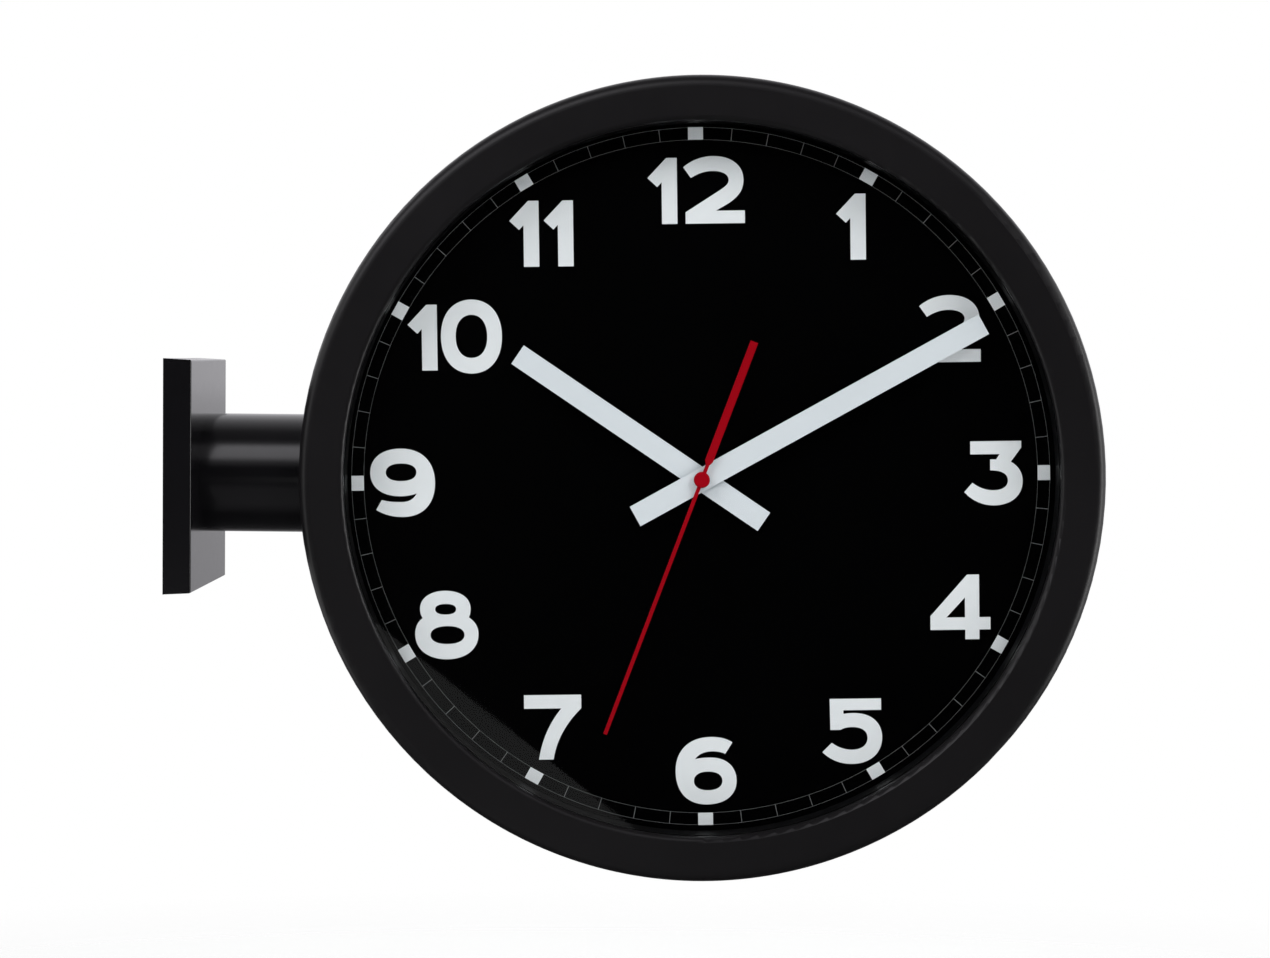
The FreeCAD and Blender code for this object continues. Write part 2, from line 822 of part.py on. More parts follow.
def make_lock_screws(side, frame):
    """Three flush grub screws that grip the drum's end through the bezel's skirt."""
    length = s.bezel_wall + s.skirt_clearance / 2 - s.lock_screw_diameter / 20
    screw = headless_screw(s.lock_screw_diameter, length)
    start = float(skirt_inner - s.skirt_clearance / 2 + length)
    screws = []
    for angle in LOCK_SCREW_ANGLES:
        out = Vector(math.cos(math.radians(angle)), math.sin(math.radians(angle)), 0)
        place = out * start + Vector(0, 0, float(lock_screw_height))
        screws.append(set_at(screw, place, -out))
    add_shape(f"{side}_lock_screws", Part.makeCompound(screws), frame)


def make_glass(side, frame):
    """Flat round glass that lies against the back of the bezel's lip."""
    body = new_body(f"{side}_glass", frame)
    pad(body, circles([HAND_AXIS], glass_radius), glass_low, lip_height)


def make_inner_ring(side, frame):
    """Ring between glass and dial: its flange presses the glass on the lip."""
    body = new_body(f"{side}_inner_ring", frame)
    wall = window_radius + s.ring_wall
    flange = glass_radius - s.ring_edge_gap
    profile = [
        (window_radius, dial_front),
        (wall, dial_front),
        (wall, glass_low - s.ring_flange),
        (flange, glass_low - s.ring_flange),
        (flange, glass_low),
        (window_radius, glass_low),
    ]
    revolve(body, profile)


def make_dial(side, frame):
    """Sheet dial with a hole for the movement's bushing and six screw holes."""
    body = new_body(f"{side}_dial", frame)
    pad(body, circles([HAND_AXIS], dial_radius), dial_back, dial_front)
    bushing_hole = s.bushing_diameter / 2 + s.battery_clearance
    pocket(body, circles([HAND_AXIS], bushing_hole), dial_back, dial_front)
    places = [on_circle(boss_circle, angle) for angle in DIAL_SCREW_ANGLES]
    clearance = s.dial_screw_diameter / 2 + s.battery_clearance
    pocket(body, circles(places, clearance), dial_back, dial_front)


def make_dial_screws(side, frame):
    """Six screws from behind the dial into the bezel's bosses."""
    screw = headed_screw(
        s.dial_screw_diameter,
        s.dial_screw_length,
        s.dial_screw_head,
        s.dial_screw_head_height,
    )
    screws = []
    for angle in DIAL_SCREW_ANGLES:
        x, y = on_circle(boss_circle, angle)
        screws.append(set_at(screw, Vector(float(x), float(y), float(dial_back)), Vector(0, 0, 1)))
    add_shape(f"{side}_dial_screws", Part.makeCompound(screws), frame)


# ---------------------------------------------------------------------------------------------
# quartz movement
# ---------------------------------------------------------------------------------------------

pivot_radius = arbor_radius + s.fit_clearance
front_pivot_end = chamber_front + s.pivot_depth
back_pivot_end = movement_back - s.pivot_depth
stator_low = movement_back + s.stator_height
stator_high = stator_low + s.stator_thickness
stator_hole_radius = s.rotor_magnet_diameter / 2 + s.rotor_air_gap
coil_radius = s.coil_diameter / 2
coil_axis_y = rotor_axis[1] + stator_hole_radius + s.stator_rise
chamber_high = coil_axis_y + coil_radius + s.battery_clearance * 2
movement_high = chamber_high + s.movement_wall
movement_low = bay_low - s.movement_wall
stator_left = rotor_axis[0] - s.coil_length * 2
stator_right = rotor_axis[0] + s.rotor_magnet_diameter + s.stator_leg
post_radius = s.stator_leg / 2
post_places = [
    (stator_left + post_radius, coil_axis_y),
    (stator_right - post_radius, coil_axis_y),
]


def make_movement_case(side, frame):
    """Moulded body of the movement: gear chamber above, battery bay below, threaded bushing."""
    body = new_body(f"{side}_movement_case", frame)
    outline = polygon(rectangle(-half_movement, movement_low, half_movement, movement_high))
    pad(body, outline, movement_back, movement_front)
    chamber = polygon(rectangle(-half_chamber, chamber_low, half_chamber, chamber_high))
    pocket(body, chamber, movement_back, chamber_front)
    bay = polygon(rectangle(-half_chamber, bay_low, half_chamber, bay_high))
    pocket(body, bay, movement_back, chamber_front)
    pad(body, circles([HAND_AXIS], s.bushing_diameter / 2), movement_front, bushing_top)
    pocket(body, circles([HAND_AXIS], bushing_bore), chamber_front, bushing_top)
    pad(body, circles(post_places, post_radius), stator_high, chamber_front)
    pivots = circles([third_axis, intermediate_axis, rotor_axis], pivot_radius)
    pocket(body, pivots, chamber_front, front_pivot_end)
    pocket(body, circles([motion_axis], setting_radius + s.fit_clearance), chamber_front, front_pivot_end)


def make_movement_cover(side, frame):
    """Back cover over the gear chamber, with the wheels' rear pivots."""
    body = new_body(f"{side}_movement_cover", frame)
    outline = polygon(rectangle(-half_movement, chamber_low, half_movement, movement_high))
    pad(body, outline, cover_outer, movement_back)
    pivots = circles([third_axis, intermediate_axis, rotor_axis], pivot_radius)
    pocket(body, pivots, back_pivot_end, movement_back)
    pocket(body, circles([HAND_AXIS], second_shaft_radius + s.fit_clearance), back_pivot_end, movement_back)
    pocket(body, circles([motion_axis], setting_radius + s.fit_clearance), cover_outer, movement_back)


def make_washer(side, frame):
    """Washer between dial and nut."""
    body = new_body(f"{side}_dial_washer", frame)
    bore = s.bushing_diameter / 2 + s.battery_clearance
    revolve(body, ring_profile(bore, s.washer_diameter / 2, dial_front, dial_front + s.washer_thickness))


def make_nut(side, frame):
    """Thin hexagon nut that clamps the movement to the dial."""
    low = dial_front + s.washer_thickness
    nut = hex_prism(s.nut_flats, s.nut_height)
    bore = Part.makeCylinder(float(s.bushing_diameter / 2 + s.fit_clearance), float(s.nut_height))
    nut = nut.cut(bore)
    nut.translate(Vector(0, 0, float(low)))
    add_shape(f"{side}_fixing_nut", nut, frame)


battery_left = -s.battery_length / 2


def make_battery(side, frame):
    """Round cell that lies across the bay."""
    body = new_body(f"{side}_battery", frame * battery_frame())
    can_end = s.battery_length - s.battery_nub_length
    profile = [
        (as_size(0), as_size(0)),
        (battery_radius, as_size(0)),
        (battery_radius, can_end),
        (s.battery_nub_diameter / 2, can_end),
        (s.battery_nub_diameter / 2, s.battery_length),
        (as_size(0), s.battery_length),
    ]
    revolve(body, profile)


def battery_frame():
    """Where the cell's flat end lies in the movement, its length along +X."""
    place = Vector(float(battery_left), float(battery_middle), float(battery_height))
    return Placement(place, Rotation(Vector(0, 1, 0), 90))


def make_battery_contacts(side, frame):
    """Sprung contact plate at each end of the cell."""
    width = float(s.battery_diameter) * 0.6
    thickness = float(s.contact_thickness)
    wall = float(half_chamber)
    reach = float(s.contact_reach)
    middle = Vector(0, float(battery_middle), float(battery_height))
    plates = []
    for sign in (-1, 1):
        start = wall * sign if sign < 0 else wall - thickness
        corner = Vector(start, -width / 2, -width / 2)
        plate = Part.makeBox(thickness, width, width, corner)
        face = sign * (wall - thickness)
        button = Part.makeCylinder(width / 4, reach, Vector(face, 0, 0), Vector(-sign, 0, 0))
        whole = plate.fuse(button)
        whole.translate(middle)
        plates.append(whole)
    add_shape(f"{side}_battery_contacts", Part.makeCompound(plates), frame)


def make_circuit_board(side, frame):
    """Small board on the cover, with the timing chip."""
    edge = float(s.battery_clearance)
    left = -float(half_chamber) + edge
    right = float(third_axis[0] - s.arbor_diameter * 1.5)
    low = float(chamber_low) + edge
    high = float(coil_axis_y - coil_radius) - edge
    base = float(movement_back)
    thickness = float(s.board_thickness)
    board = Part.makeBox(right - left, high - low, thickness, Vector(left, low, base))
    chip_width = (right - left) * 0.4
    chip_place = Vector((left + right - chip_width) / 2, (low + high - chip_width) / 2, base + thickness)
    chip = Part.makeBox(chip_width, chip_width, thickness, chip_place)
    add_shape(f"{side}_circuit_board", board.fuse(chip), frame)


def make_step_motor(side, frame):
    """Laminated stator round the rotor, and the coil wound on its long leg."""
    low = float(stator_low)
    thickness = float(s.stator_thickness)
    left = float(stator_left)
    right = float(stator_right)
    leg = float(s.stator_leg)
    leg_low = float(coil_axis_y) - leg / 2
    hole_radius = float(stator_hole_radius)
    rotor_place = Vector(float(rotor_axis[0]), float(rotor_axis[1]), low)
    bar = Part.makeBox(right - left, leg, thickness, Vector(left, leg_low, low))
    eye = Part.makeCylinder(hole_radius + leg / 2, thickness, rotor_place)
    stator = bar.fuse(eye).cut(Part.makeCylinder(hole_radius, thickness, rotor_place))
    coil_length = float(s.coil_length)
    coil_start = left + leg * 1.2
    coil_place = Vector(coil_start, float(coil_axis_y), low + thickness / 2)
    winding = Part.makeCylinder(float(coil_radius), coil_length, coil_place, Vector(1, 0, 0))
    gap = float(s.fit_clearance)
    slot_corner = Vector(coil_start, leg_low - gap, low - gap)
    slot = Part.makeBox(coil_length, leg + 2 * gap, thickness + 2 * gap, slot_corner)
    solids = [stator.removeSplitter(), winding.cut(slot)]
    add_shape(f"{side}_step_motor", Part.makeCompound(solids), frame)


# ---------------------------------------------------------------------------------------------
# gear train
# ---------------------------------------------------------------------------------------------


def module_of(distance, teeth, other_teeth):
    """The module at which two wheels of these teeth mesh at a distance."""
    return 2 * float(distance) / (teeth + other_teeth)


def gear(teeth, module, axis, low, high, phase):
    """A toothed disc with straight-sided teeth, one of them centred at the angle phase."""
    pitch_radius = teeth * module / 2
    pitch_angle = 2 * math.pi / teeth
    corners = []
    steps = (
        (-TOOTH_ROOT_SHARE, pitch_radius - DEDENDUM * module),
        (-TOOTH_PITCH_SHARE, pitch_radius),
        (-TOOTH_TIP_SHARE, pitch_radius + ADDENDUM * module),
        (TOOTH_TIP_SHARE, pitch_radius + ADDENDUM * module),
        (TOOTH_PITCH_SHARE, pitch_radius),
        (TOOTH_ROOT_SHARE, pitch_radius - DEDENDUM * module),
    )
    for number in range(teeth):
        for share, radius in steps:
            angle = phase + (number + share / 2) * pitch_angle
            corners.append(
                Vector(
                    float(axis[0]) + radius * math.cos(angle),
                    float(axis[1]) + radius * math.sin(angle),
                    float(low),
                )
            )
    face = Part.Face(Part.makePolygon(corners + corners[:1]))
    return face.extrude(Vector(0, 0, float(high) - float(low)))


def meshing_phase(teeth, direction, other_teeth, other_phase):
    """The phase at which a gear meshes with another that lies behind it, away from direction."""
    share = (direction - other_phase) * other_teeth / (2 * math.pi)
    return direction + math.pi - (0.5 - share) * 2 * math.pi / teeth


def bar(radius, axis, low, high):
    """A round bar along the hands' direction."""
    place = Vector(float(axis[0]), float(axis[1]), float(low))
    return Part.makeCylinder(float(radius), float(high) - float(low), place)


def fused(first, *others):
    """Solids joined into one."""
    return first.multiFuse(list(others)).removeSplitter()


pivot_gap = s.fit_clearance * 2
arbor_low = back_pivot_end + pivot_gap
arbor_high = front_pivot_end - pivot_gap
third_module = module_of(s.third_distance, SECONDS_PINION, THIRD_WHEEL)
centre_module = module_of(s.third_distance, THIRD_PINION, CENTRE_WHEEL)
motion_module = module_of(motion_distance, CANNON_PINION, MINUTE_WHEEL)
hour_module = module_of(motion_distance, MINUTE_PINION, HOUR_WHEEL)
seconds_module = module_of(intermediate_distance, INTERMEDIATE_PINION, SECONDS_WHEEL)
rotor_module = module_of(s.rotor_distance, ROTOR_PINION, INTERMEDIATE_WHEEL)

magnet_middle = stator_low + s.stator_thickness / 2
magnet_low = magnet_middle - s.rotor_magnet_height / 2
magnet_high = magnet_middle + s.rotor_magnet_height / 2
seconds_wheel_low = movement_back + s.cover_wheel_gap
third_wheel_low = seconds_wheel_low + s.wheel_thickness + s.third_wheel_gap
intermediate_wheel_low = magnet_high + s.magnet_wheel_gap
centre_wheel_low = intermediate_wheel_low + s.wheel_thickness + s.centre_wheel_gap
minute_wheel_low = centre_wheel_low + s.wheel_thickness + s.minute_wheel_gap
hour_wheel_low = minute_wheel_low + s.wheel_thickness + s.hour_wheel_gap

third_angle = math.radians(THIRD_DIRECTION)
motion_angle = math.radians(MOTION_DIRECTION)
intermediate_angle = math.radians(INTERMEDIATE_DIRECTION)
rotor_angle = math.radians(ROTOR_DIRECTION)


def make_seconds_wheel(side, frame):
    """Wheel and pinion on the long shaft that carries the second hand."""
    low = seconds_wheel_low
    high = low + s.wheel_thickness
    pinion_high = third_wheel_low + s.wheel_thickness * 2
    shaft_high = second_hand_low + s.second_hand_thickness + s.hand_boss_step
    wheel = gear(SECONDS_WHEEL, seconds_module, HAND_AXIS, low, high, 0)
    pinion = gear(SECONDS_PINION, third_module, HAND_AXIS, high, pinion_high, 0)
    shaft = bar(second_shaft_radius, HAND_AXIS, arbor_low, shaft_high)
    add_shape(f"{side}_seconds_wheel", fused(wheel, pinion, shaft), frame)


def make_third_wheel(side, frame):
    """Wheel between the second and minute hands' wheels."""
    low = third_wheel_low
    high = low + s.wheel_thickness
    pinion_high = centre_wheel_low + s.wheel_thickness * 1.3
    phase = meshing_phase(THIRD_WHEEL, third_angle, SECONDS_PINION, 0)
    wheel = gear(THIRD_WHEEL, third_module, third_axis, low, high, phase)
    pinion = gear(THIRD_PINION, centre_module, third_axis, high, pinion_high, phase)
    arbor = bar(arbor_radius, third_axis, arbor_low, arbor_high)
    add_shape(f"{side}_third_wheel", fused(wheel, pinion, arbor), frame)


def centre_phase():
    """The centre wheel's phase, set by the third wheel's pinion."""
    third_phase = meshing_phase(THIRD_WHEEL, third_angle, SECONDS_PINION, 0)
    return meshing_phase(CENTRE_WHEEL, third_angle + math.pi, THIRD_PINION, third_phase)


def make_centre_wheel(side, frame):
    """Wheel, cannon pinion and tube that carry the minute hand."""
    low = centre_wheel_low
    high = low + s.wheel_thickness
    hub_high = minute_wheel_low - s.wheel_thickness / 2
    pinion_high = minute_wheel_low + s.wheel_thickness * 2
    tube_low = low - s.wheel_thickness
    tube_high = minute_hand_low + s.hand_thickness + s.hand_boss_step
    root = CANNON_PINION * motion_module / 2 - DEDENDUM * motion_module
    wheel = gear(CENTRE_WHEEL, centre_module, HAND_AXIS, low, high, centre_phase())
    hub = bar(root, HAND_AXIS, high, hub_high)
    pinion = gear(CANNON_PINION, motion_module, HAND_AXIS, hub_high, pinion_high, 0)
    tube = bar(minute_tube_radius, HAND_AXIS, tube_low, tube_high)
    bore = bar(minute_tube_bore, HAND_AXIS, tube_low, tube_high)
    add_shape(f"{side}_centre_wheel", fused(wheel, hub, pinion, tube).cut(bore), frame)


def make_minute_wheel(side, frame):
    """Wheel and pinion of the motion work, on the arbor of the setting knob."""
    low = minute_wheel_low
    high = low + s.wheel_thickness
    pinion_high = hour_wheel_low + s.wheel_thickness * 2
    phase = meshing_phase(MINUTE_WHEEL, motion_angle, CANNON_PINION, 0)
    wheel = gear(MINUTE_WHEEL, motion_module, motion_axis, low, high, phase)
    pinion = gear(MINUTE_PINION, hour_module, motion_axis, high, pinion_high, phase)
    arbor = bar(setting_radius, motion_axis, knob_low + s.knob_gap, arbor_high)
    add_shape(f"{side}_minute_wheel", fused(wheel, pinion, arbor), frame)


def make_hour_wheel(side, frame):
    """Wheel and pipe that carry the hour hand."""
    low = hour_wheel_low
    high = low + s.wheel_thickness
    pipe_high = hour_hand_low + s.hand_thickness + s.hand_boss_step
    minute_phase = meshing_phase(MINUTE_WHEEL, motion_angle, CANNON_PINION, 0)
    phase = meshing_phase(HOUR_WHEEL, motion_angle + math.pi, MINUTE_PINION, minute_phase)
    wheel = gear(HOUR_WHEEL, hour_module, HAND_AXIS, low, high, phase)
    pipe = bar(hour_pipe_radius, HAND_AXIS, low, pipe_high)
    bore = bar(hour_pipe_bore, HAND_AXIS, low, pipe_high)
    add_shape(f"{side}_hour_wheel", fused(wheel, pipe).cut(bore), frame)


def intermediate_phase():
    """The intermediate pinion's phase, set by the seconds wheel."""
    return meshing_phase(INTERMEDIATE_PINION, intermediate_angle, SECONDS_WHEEL, 0)


def make_intermediate_wheel(side, frame):
    """Wheel between the motor's rotor and the seconds wheel."""
    low = intermediate_wheel_low
    high = low + s.wheel_thickness
    pinion_low = seconds_wheel_low - s.fit_clearance * 4
    pinion_high = seconds_wheel_low + s.wheel_thickness * 1.5
    phase = intermediate_phase()
    wheel = gear(INTERMEDIATE_WHEEL, rotor_module, intermediate_axis, low, high, phase)
    pinion = gear(INTERMEDIATE_PINION, seconds_module, intermediate_axis, pinion_low, pinion_high, phase)
    arbor = bar(arbor_radius, intermediate_axis, arbor_low, arbor_high)
    add_shape(f"{side}_intermediate_wheel", fused(wheel, pinion, arbor), frame)


def make_rotor(side, frame):
    """Magnet and pinion of the stepping motor."""
    phase = meshing_phase(ROTOR_PINION, rotor_angle, INTERMEDIATE_WHEEL, intermediate_phase())
    magnet = bar(s.rotor_magnet_diameter / 2, rotor_axis, magnet_low, magnet_high)
    pinion_high = intermediate_wheel_low + s.wheel_thickness * 1.5
    pinion = gear(ROTOR_PINION, rotor_module, rotor_axis, magnet_high, pinion_high, phase)
    arbor = bar(arbor_radius, rotor_axis, arbor_low, arbor_high)
    add_shape(f"{side}_rotor", fused(magnet, pinion, arbor), frame)


def make_setting_knob(side, frame):
    """Flat knob behind the movement, pressed on the motion work's arbor."""
    x, y = motion_axis
    place = Placement(Vector(float(x), float(y), 0), Rotation())
    body = new_body(f"{side}_setting_knob", frame * place)
    radius = s.knob_diameter / 2
    bore = setting_radius + s.fit_clearance / 2
    rim = s.knob_height / 4
    profile = [
        (bore, knob_low + s.knob_gap),
        (radius - rim * 3, knob_low + s.knob_gap),
        (radius - rim * 2, knob_low),
        (radius - rim, knob_low),
        (radius, knob_low + rim),
        (radius, knob_high),
        (bore, knob_high),
    ]
    revolve(body, profile)


# ---------------------------------------------------------------------------------------------
# hands
# ---------------------------------------------------------------------------------------------


def make_bar_hand(name, frame, length, tail, low, bore):
    """Plain square-ended hand, drawn pointing at 12."""
    body = new_body(name, frame)
    half = s.hand_width / 2
    high = low + s.hand_thickness
    pad(body, polygon(rectangle(-half, -tail, half, length)), low, high)
    pocket(body, circles([HAND_AXIS], bore), low, high)


def make_second_hand(side, frame):
    """Red needle with a broad tail and a round cap, drawn pointing at 12."""
    body = new_body(f"{side}_second_hand", hand_frame(frame, SECOND_ANGLE))
    low = second_hand_low
    high = low + s.second_hand_thickness
    needle = s.second_needle_width / 2
    tail = s.second_tail_width / 2
    tip = window_radius - s.second_tip_gap
    outline = [
        (needle, tip),
        (-needle, tip),
        (-needle, -s.second_tail_start + s.second_tail_width / 2),
        (-tail, -s.second_tail_start),
        (-tail, -s.second_tail_length),
        (tail, -s.second_tail_length),
        (tail, -s.second_tail_start),
        (needle, -s.second_tail_start + s.second_tail_width / 2),
    ]
    pad(body, polygon(outline), low, high)
    shaft_hole = second_shaft_radius + s.fit_clearance / 2
    boss = s.second_shaft_diameter
    boss_low = minute_hand_low + s.hand_thickness + s.hand_boss_step * 2
    hub = s.second_hub_diameter / 2
    hub_high = low + s.second_hub_height
    profile = [
        (as_size(0), low),
        (as_size(0), hub_high),
        (hub - s.second_hub_round, hub_high),
        (hub, hub_high - s.second_hub_round),
        (hub, low),
        (boss, low),
        (boss, boss_low),
        (shaft_hole, boss_low),
        (shaft_hole, low),
    ]
    revolve(body, profile)
    hole_high = low + s.second_hand_thickness + s.hand_boss_step
    pocket(body, circles([HAND_AXIS], shaft_hole), low, hole_high)


def make_hands(side, frame):
    """The three hands of one dial."""
    make_bar_hand(
        f"{side}_hour_hand",
        hand_frame(frame, HOUR_ANGLE),
        window_radius - s.hour_tip_gap,
        s.hour_hand_tail,
        hour_hand_low,
        hour_pipe_radius + s.fit_clearance / 2,
    )
    make_bar_hand(
        f"{side}_minute_hand",
        hand_frame(frame, MINUTE_ANGLE),
        window_radius - s.minute_tip_gap,
        s.minute_hand_tail,
        minute_hand_low,
        minute_tube_radius + s.fit_clearance / 2,
    )
    make_second_hand(side, frame)


# ---------------------------------------------------------------------------------------------
# build and write
# ---------------------------------------------------------------------------------------------


def make_insert(side, frame):
    """Everything that one dial insert carries."""
    make_bezel(side, frame)
    make_lock_screws(side, frame)
    make_glass(side, frame)
    make_inner_ring(side, frame)
    make_dial(side, frame)
    make_dial_screws(side, frame)
    make_movement_case(side, frame)
    make_movement_cover(side, frame)
    make_washer(side, frame)
    make_nut(side, frame)
    make_battery(side, frame)
    make_battery_contacts(side, frame)
    make_circuit_board(side, frame)
    make_step_motor(side, frame)
    make_rotor(side, frame)
    make_intermediate_wheel(side, frame)
    make_seconds_wheel(side, frame)
    make_third_wheel(side, frame)
    make_centre_wheel(side, frame)
    make_minute_wheel(side, frame)
    make_setting_knob(side, frame)
    make_hour_wheel(side, frame)
    make_hands(side, frame)


def check_and_write():
    """Place every piece, check it and write it to its own file."""
    for feature, frame in pieces:
        if frame is not None:
            feature.Placement = frame
    doc.recompute()
    for item in doc.Objects:
        bad = {"Invalid", "Error"} & set(item.State)
        if bad:
            raise RuntimeError(f"{item.Label} is {bad}")
    for cut, body in cuts:
        if not cut.Shape.Volume < cut.BaseFeature.Shape.Volume - 1e-3:
            raise RuntimeError(f"{cut.Name} of {body.Label} cuts nothing")
    os.makedirs("parts", exist_ok=True)
    for feature, _ in pieces:
        shape = feature.Shape
        if shape.isNull() or not shape.isValid():
            raise RuntimeError(f"{feature.Label} has no sound shape")
        print(f"{feature.Label}: {len(shape.Solids)} solids, {shape.Volume / 1000:.3f} cm3")
        shape.exportStep(f"parts/{feature.Label}.step")
    print(len(pieces), "pieces")


make_wall_bracket()
make_wall_plate()
make_bracket_grub_screws()
make_wall_end_flange()
make_arm_tube()
make_case_end_flange()
make_backing_saddle()
make_arm_bolts()
make_case_drum()
for side_name, side_frame in (("front", FRONT_FRAME), ("rear", REAR_FRAME)):
    make_insert(side_name, side_frame)
check_and_write()
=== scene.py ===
"""Looks of the double sided station clock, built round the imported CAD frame.

Lengths in this file are millimetres unless a name says otherwise, and metres once they reach a
mesh, a light or the camera. A dial's own frame has its centre in the middle of the case: x to the
right and y up as the dial is read, and z out of the dial towards the reader.
"""

import json
import math

import bmesh
import bpy
from mathutils import Matrix, Vector


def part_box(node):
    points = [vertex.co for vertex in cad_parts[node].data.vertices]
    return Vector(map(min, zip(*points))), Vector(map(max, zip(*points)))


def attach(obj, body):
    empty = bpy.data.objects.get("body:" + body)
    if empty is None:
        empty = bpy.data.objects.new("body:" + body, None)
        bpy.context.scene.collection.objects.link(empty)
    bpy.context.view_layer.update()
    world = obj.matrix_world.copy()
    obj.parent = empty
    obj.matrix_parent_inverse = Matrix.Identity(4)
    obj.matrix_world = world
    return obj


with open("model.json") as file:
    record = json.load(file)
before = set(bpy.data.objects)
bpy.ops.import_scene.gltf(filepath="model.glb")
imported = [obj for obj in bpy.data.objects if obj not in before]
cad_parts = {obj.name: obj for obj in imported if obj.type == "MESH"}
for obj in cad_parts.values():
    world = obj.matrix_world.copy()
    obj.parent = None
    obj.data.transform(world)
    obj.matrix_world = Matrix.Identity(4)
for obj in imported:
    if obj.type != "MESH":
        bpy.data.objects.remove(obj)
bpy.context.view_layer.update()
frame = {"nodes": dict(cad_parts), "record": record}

MM = 0.001
IMAGE_WIDTH = 1270.0

# ---------------------------------------------------------------------------------------------
# the camera, as the photograph was taken: its angles are radians and its limits metres
# ---------------------------------------------------------------------------------------------

FOCAL_PIXELS = 2837.4
SENSOR_WIDTH = 36.0
CAMERA_PLACE = (224.8, -1371.7, 58.4)
CAMERA_PITCH = -0.0435
CAMERA_YAW = -0.004
CAMERA_ROLL = 0.0099
NEAR_LIMIT = 0.01
FAR_LIMIT = 50.0


def make_camera():
    """The camera at the photograph's place and angle."""
    data = bpy.data.cameras.new("camera")
    data.sensor_width = SENSOR_WIDTH
    data.lens = FOCAL_PIXELS / IMAGE_WIDTH * SENSOR_WIDTH
    data.clip_start = NEAR_LIMIT
    data.clip_end = FAR_LIMIT
    camera = bpy.data.objects.new("camera", data)
    bpy.context.scene.collection.objects.link(camera)
    level_right = Vector((math.cos(CAMERA_YAW), -math.sin(CAMERA_YAW), 0))
    level_ahead = Vector((math.sin(CAMERA_YAW), math.cos(CAMERA_YAW), 0))
    ahead = level_ahead * math.cos(CAMERA_PITCH) + Vector((0, 0, math.sin(CAMERA_PITCH)))
    level_up = level_right.cross(ahead)
    right = level_right * math.cos(CAMERA_ROLL) + level_up * math.sin(CAMERA_ROLL)
    up = right.cross(ahead)
    turn = Matrix((right, up, -ahead)).transposed()
    camera.matrix_world = Matrix.Translation(Vector(CAMERA_PLACE) * MM) @ turn.to_4x4()
    bpy.context.scene.camera = camera


make_camera()

# ---------------------------------------------------------------------------------------------
# materials
# ---------------------------------------------------------------------------------------------


class Paint:
    """A node material in the making, with its Principled shader and short ways to add nodes."""

    def __init__(self, name):
        self.material = bpy.data.materials.new(name)
        self.material.use_nodes = True
        self.nodes = self.material.node_tree.nodes
        self.links = self.material.node_tree.links
        self.shader = self.nodes["Principled BSDF"]
        self.output = self.nodes["Material Output"]
        self.place = self.nodes.new("ShaderNodeTexCoord").outputs["Object"]

    def join(self, output, target):
        self.links.new(output, target)

    def stretched(self, scale):
        """The place on the object, stretched by a scale along each axis."""
        mapping = self.nodes.new("ShaderNodeMapping")
        mapping.inputs["Scale"].default_value = scale
        self.join(self.place, mapping.inputs["Vector"])
        return mapping.outputs["Vector"]

    def noise(self, scale, detail=3.0, roughness=0.5, place=None):
        """Noise with so many features to the metre, as a number from 0 to 1."""
        node = self.nodes.new("ShaderNodeTexNoise")
        node.inputs["Scale"].default_value = scale
        node.inputs["Detail"].default_value = detail
        node.inputs["Roughness"].default_value = roughness
        self.join(place or self.place, node.inputs["Vector"])
        return node.outputs["Fac"]

    def cells(self, scale, place=None):
        """Cell pattern with so many cells to the metre: the distance to each cell's middle."""
        node = self.nodes.new("ShaderNodeTexVoronoi")
        node.inputs["Scale"].default_value = scale
        self.join(place or self.place, node.inputs["Vector"])
        return node.outputs["Distance"]

    def ranged(self, value, low, high, from_low=0.3, from_high=0.7):
        """A number spread from one range to another."""
        node = self.nodes.new("ShaderNodeMapRange")
        for name, number in (
            ("From Min", from_low),
            ("From Max", from_high),
            ("To Min", low),
            ("To Max", high),
        ):
            node.inputs[name].default_value = number
        self.join(value, node.inputs["Value"])
        return node.outputs["Result"]

    def blend(self, factor, first, second):
        """A colour from first to second by a factor. Each is a colour or an output."""
        node = self.nodes.new("ShaderNodeMix")
        node.data_type = "RGBA"
        self.join(factor, node.inputs["Factor"])
        for socket, colour in ((node.inputs[6], first), (node.inputs[7], second)):
            if isinstance(colour, (tuple, list)):
                socket.default_value = (*colour, 1.0)
            else:
                self.join(colour, socket)
        return node.outputs[2]

    def math(self, operation, first, second=0.0):
        """Arithmetic on numbers or outputs."""
        node = self.nodes.new("ShaderNodeMath")
        node.operation = operation
        for socket, value in zip(node.inputs, (first, second)):
            if isinstance(value, (int, float)):
                socket.default_value = value
            else:
                self.join(value, socket)
        return node.outputs[0]

    def axis(self, name):
        """One coordinate of the place on the object, in metres."""
        node = self.nodes.new("ShaderNodeSeparateXYZ")
        self.join(self.place, node.inputs[0])
        return node.outputs[name]

    def bump(self, height, distance_mm, strength=1.0, before=None):
        """A normal raised by a height of so many millimetres."""
        node = self.nodes.new("ShaderNodeBump")
        node.inputs["Strength"].default_value = strength
        node.inputs["Distance"].default_value = distance_mm * MM
        self.join(height, node.inputs["Height"])
        if before is not None:
            self.join(before, node.inputs["Normal"])
        return node.outputs["Normal"]

    def set(self, name, value):
        """A socket of the shader, by a constant or an output."""
        socket = self.shader.inputs[name]
        if isinstance(value, (int, float)):
            socket.default_value = value
        elif isinstance(value, tuple):
            socket.default_value = (*value, 1.0)
        else:
            self.join(value, socket)


def shade(colour, factor):
    """A colour made lighter or darker."""
    return tuple(min(channel * factor, 1.0) for channel in colour)


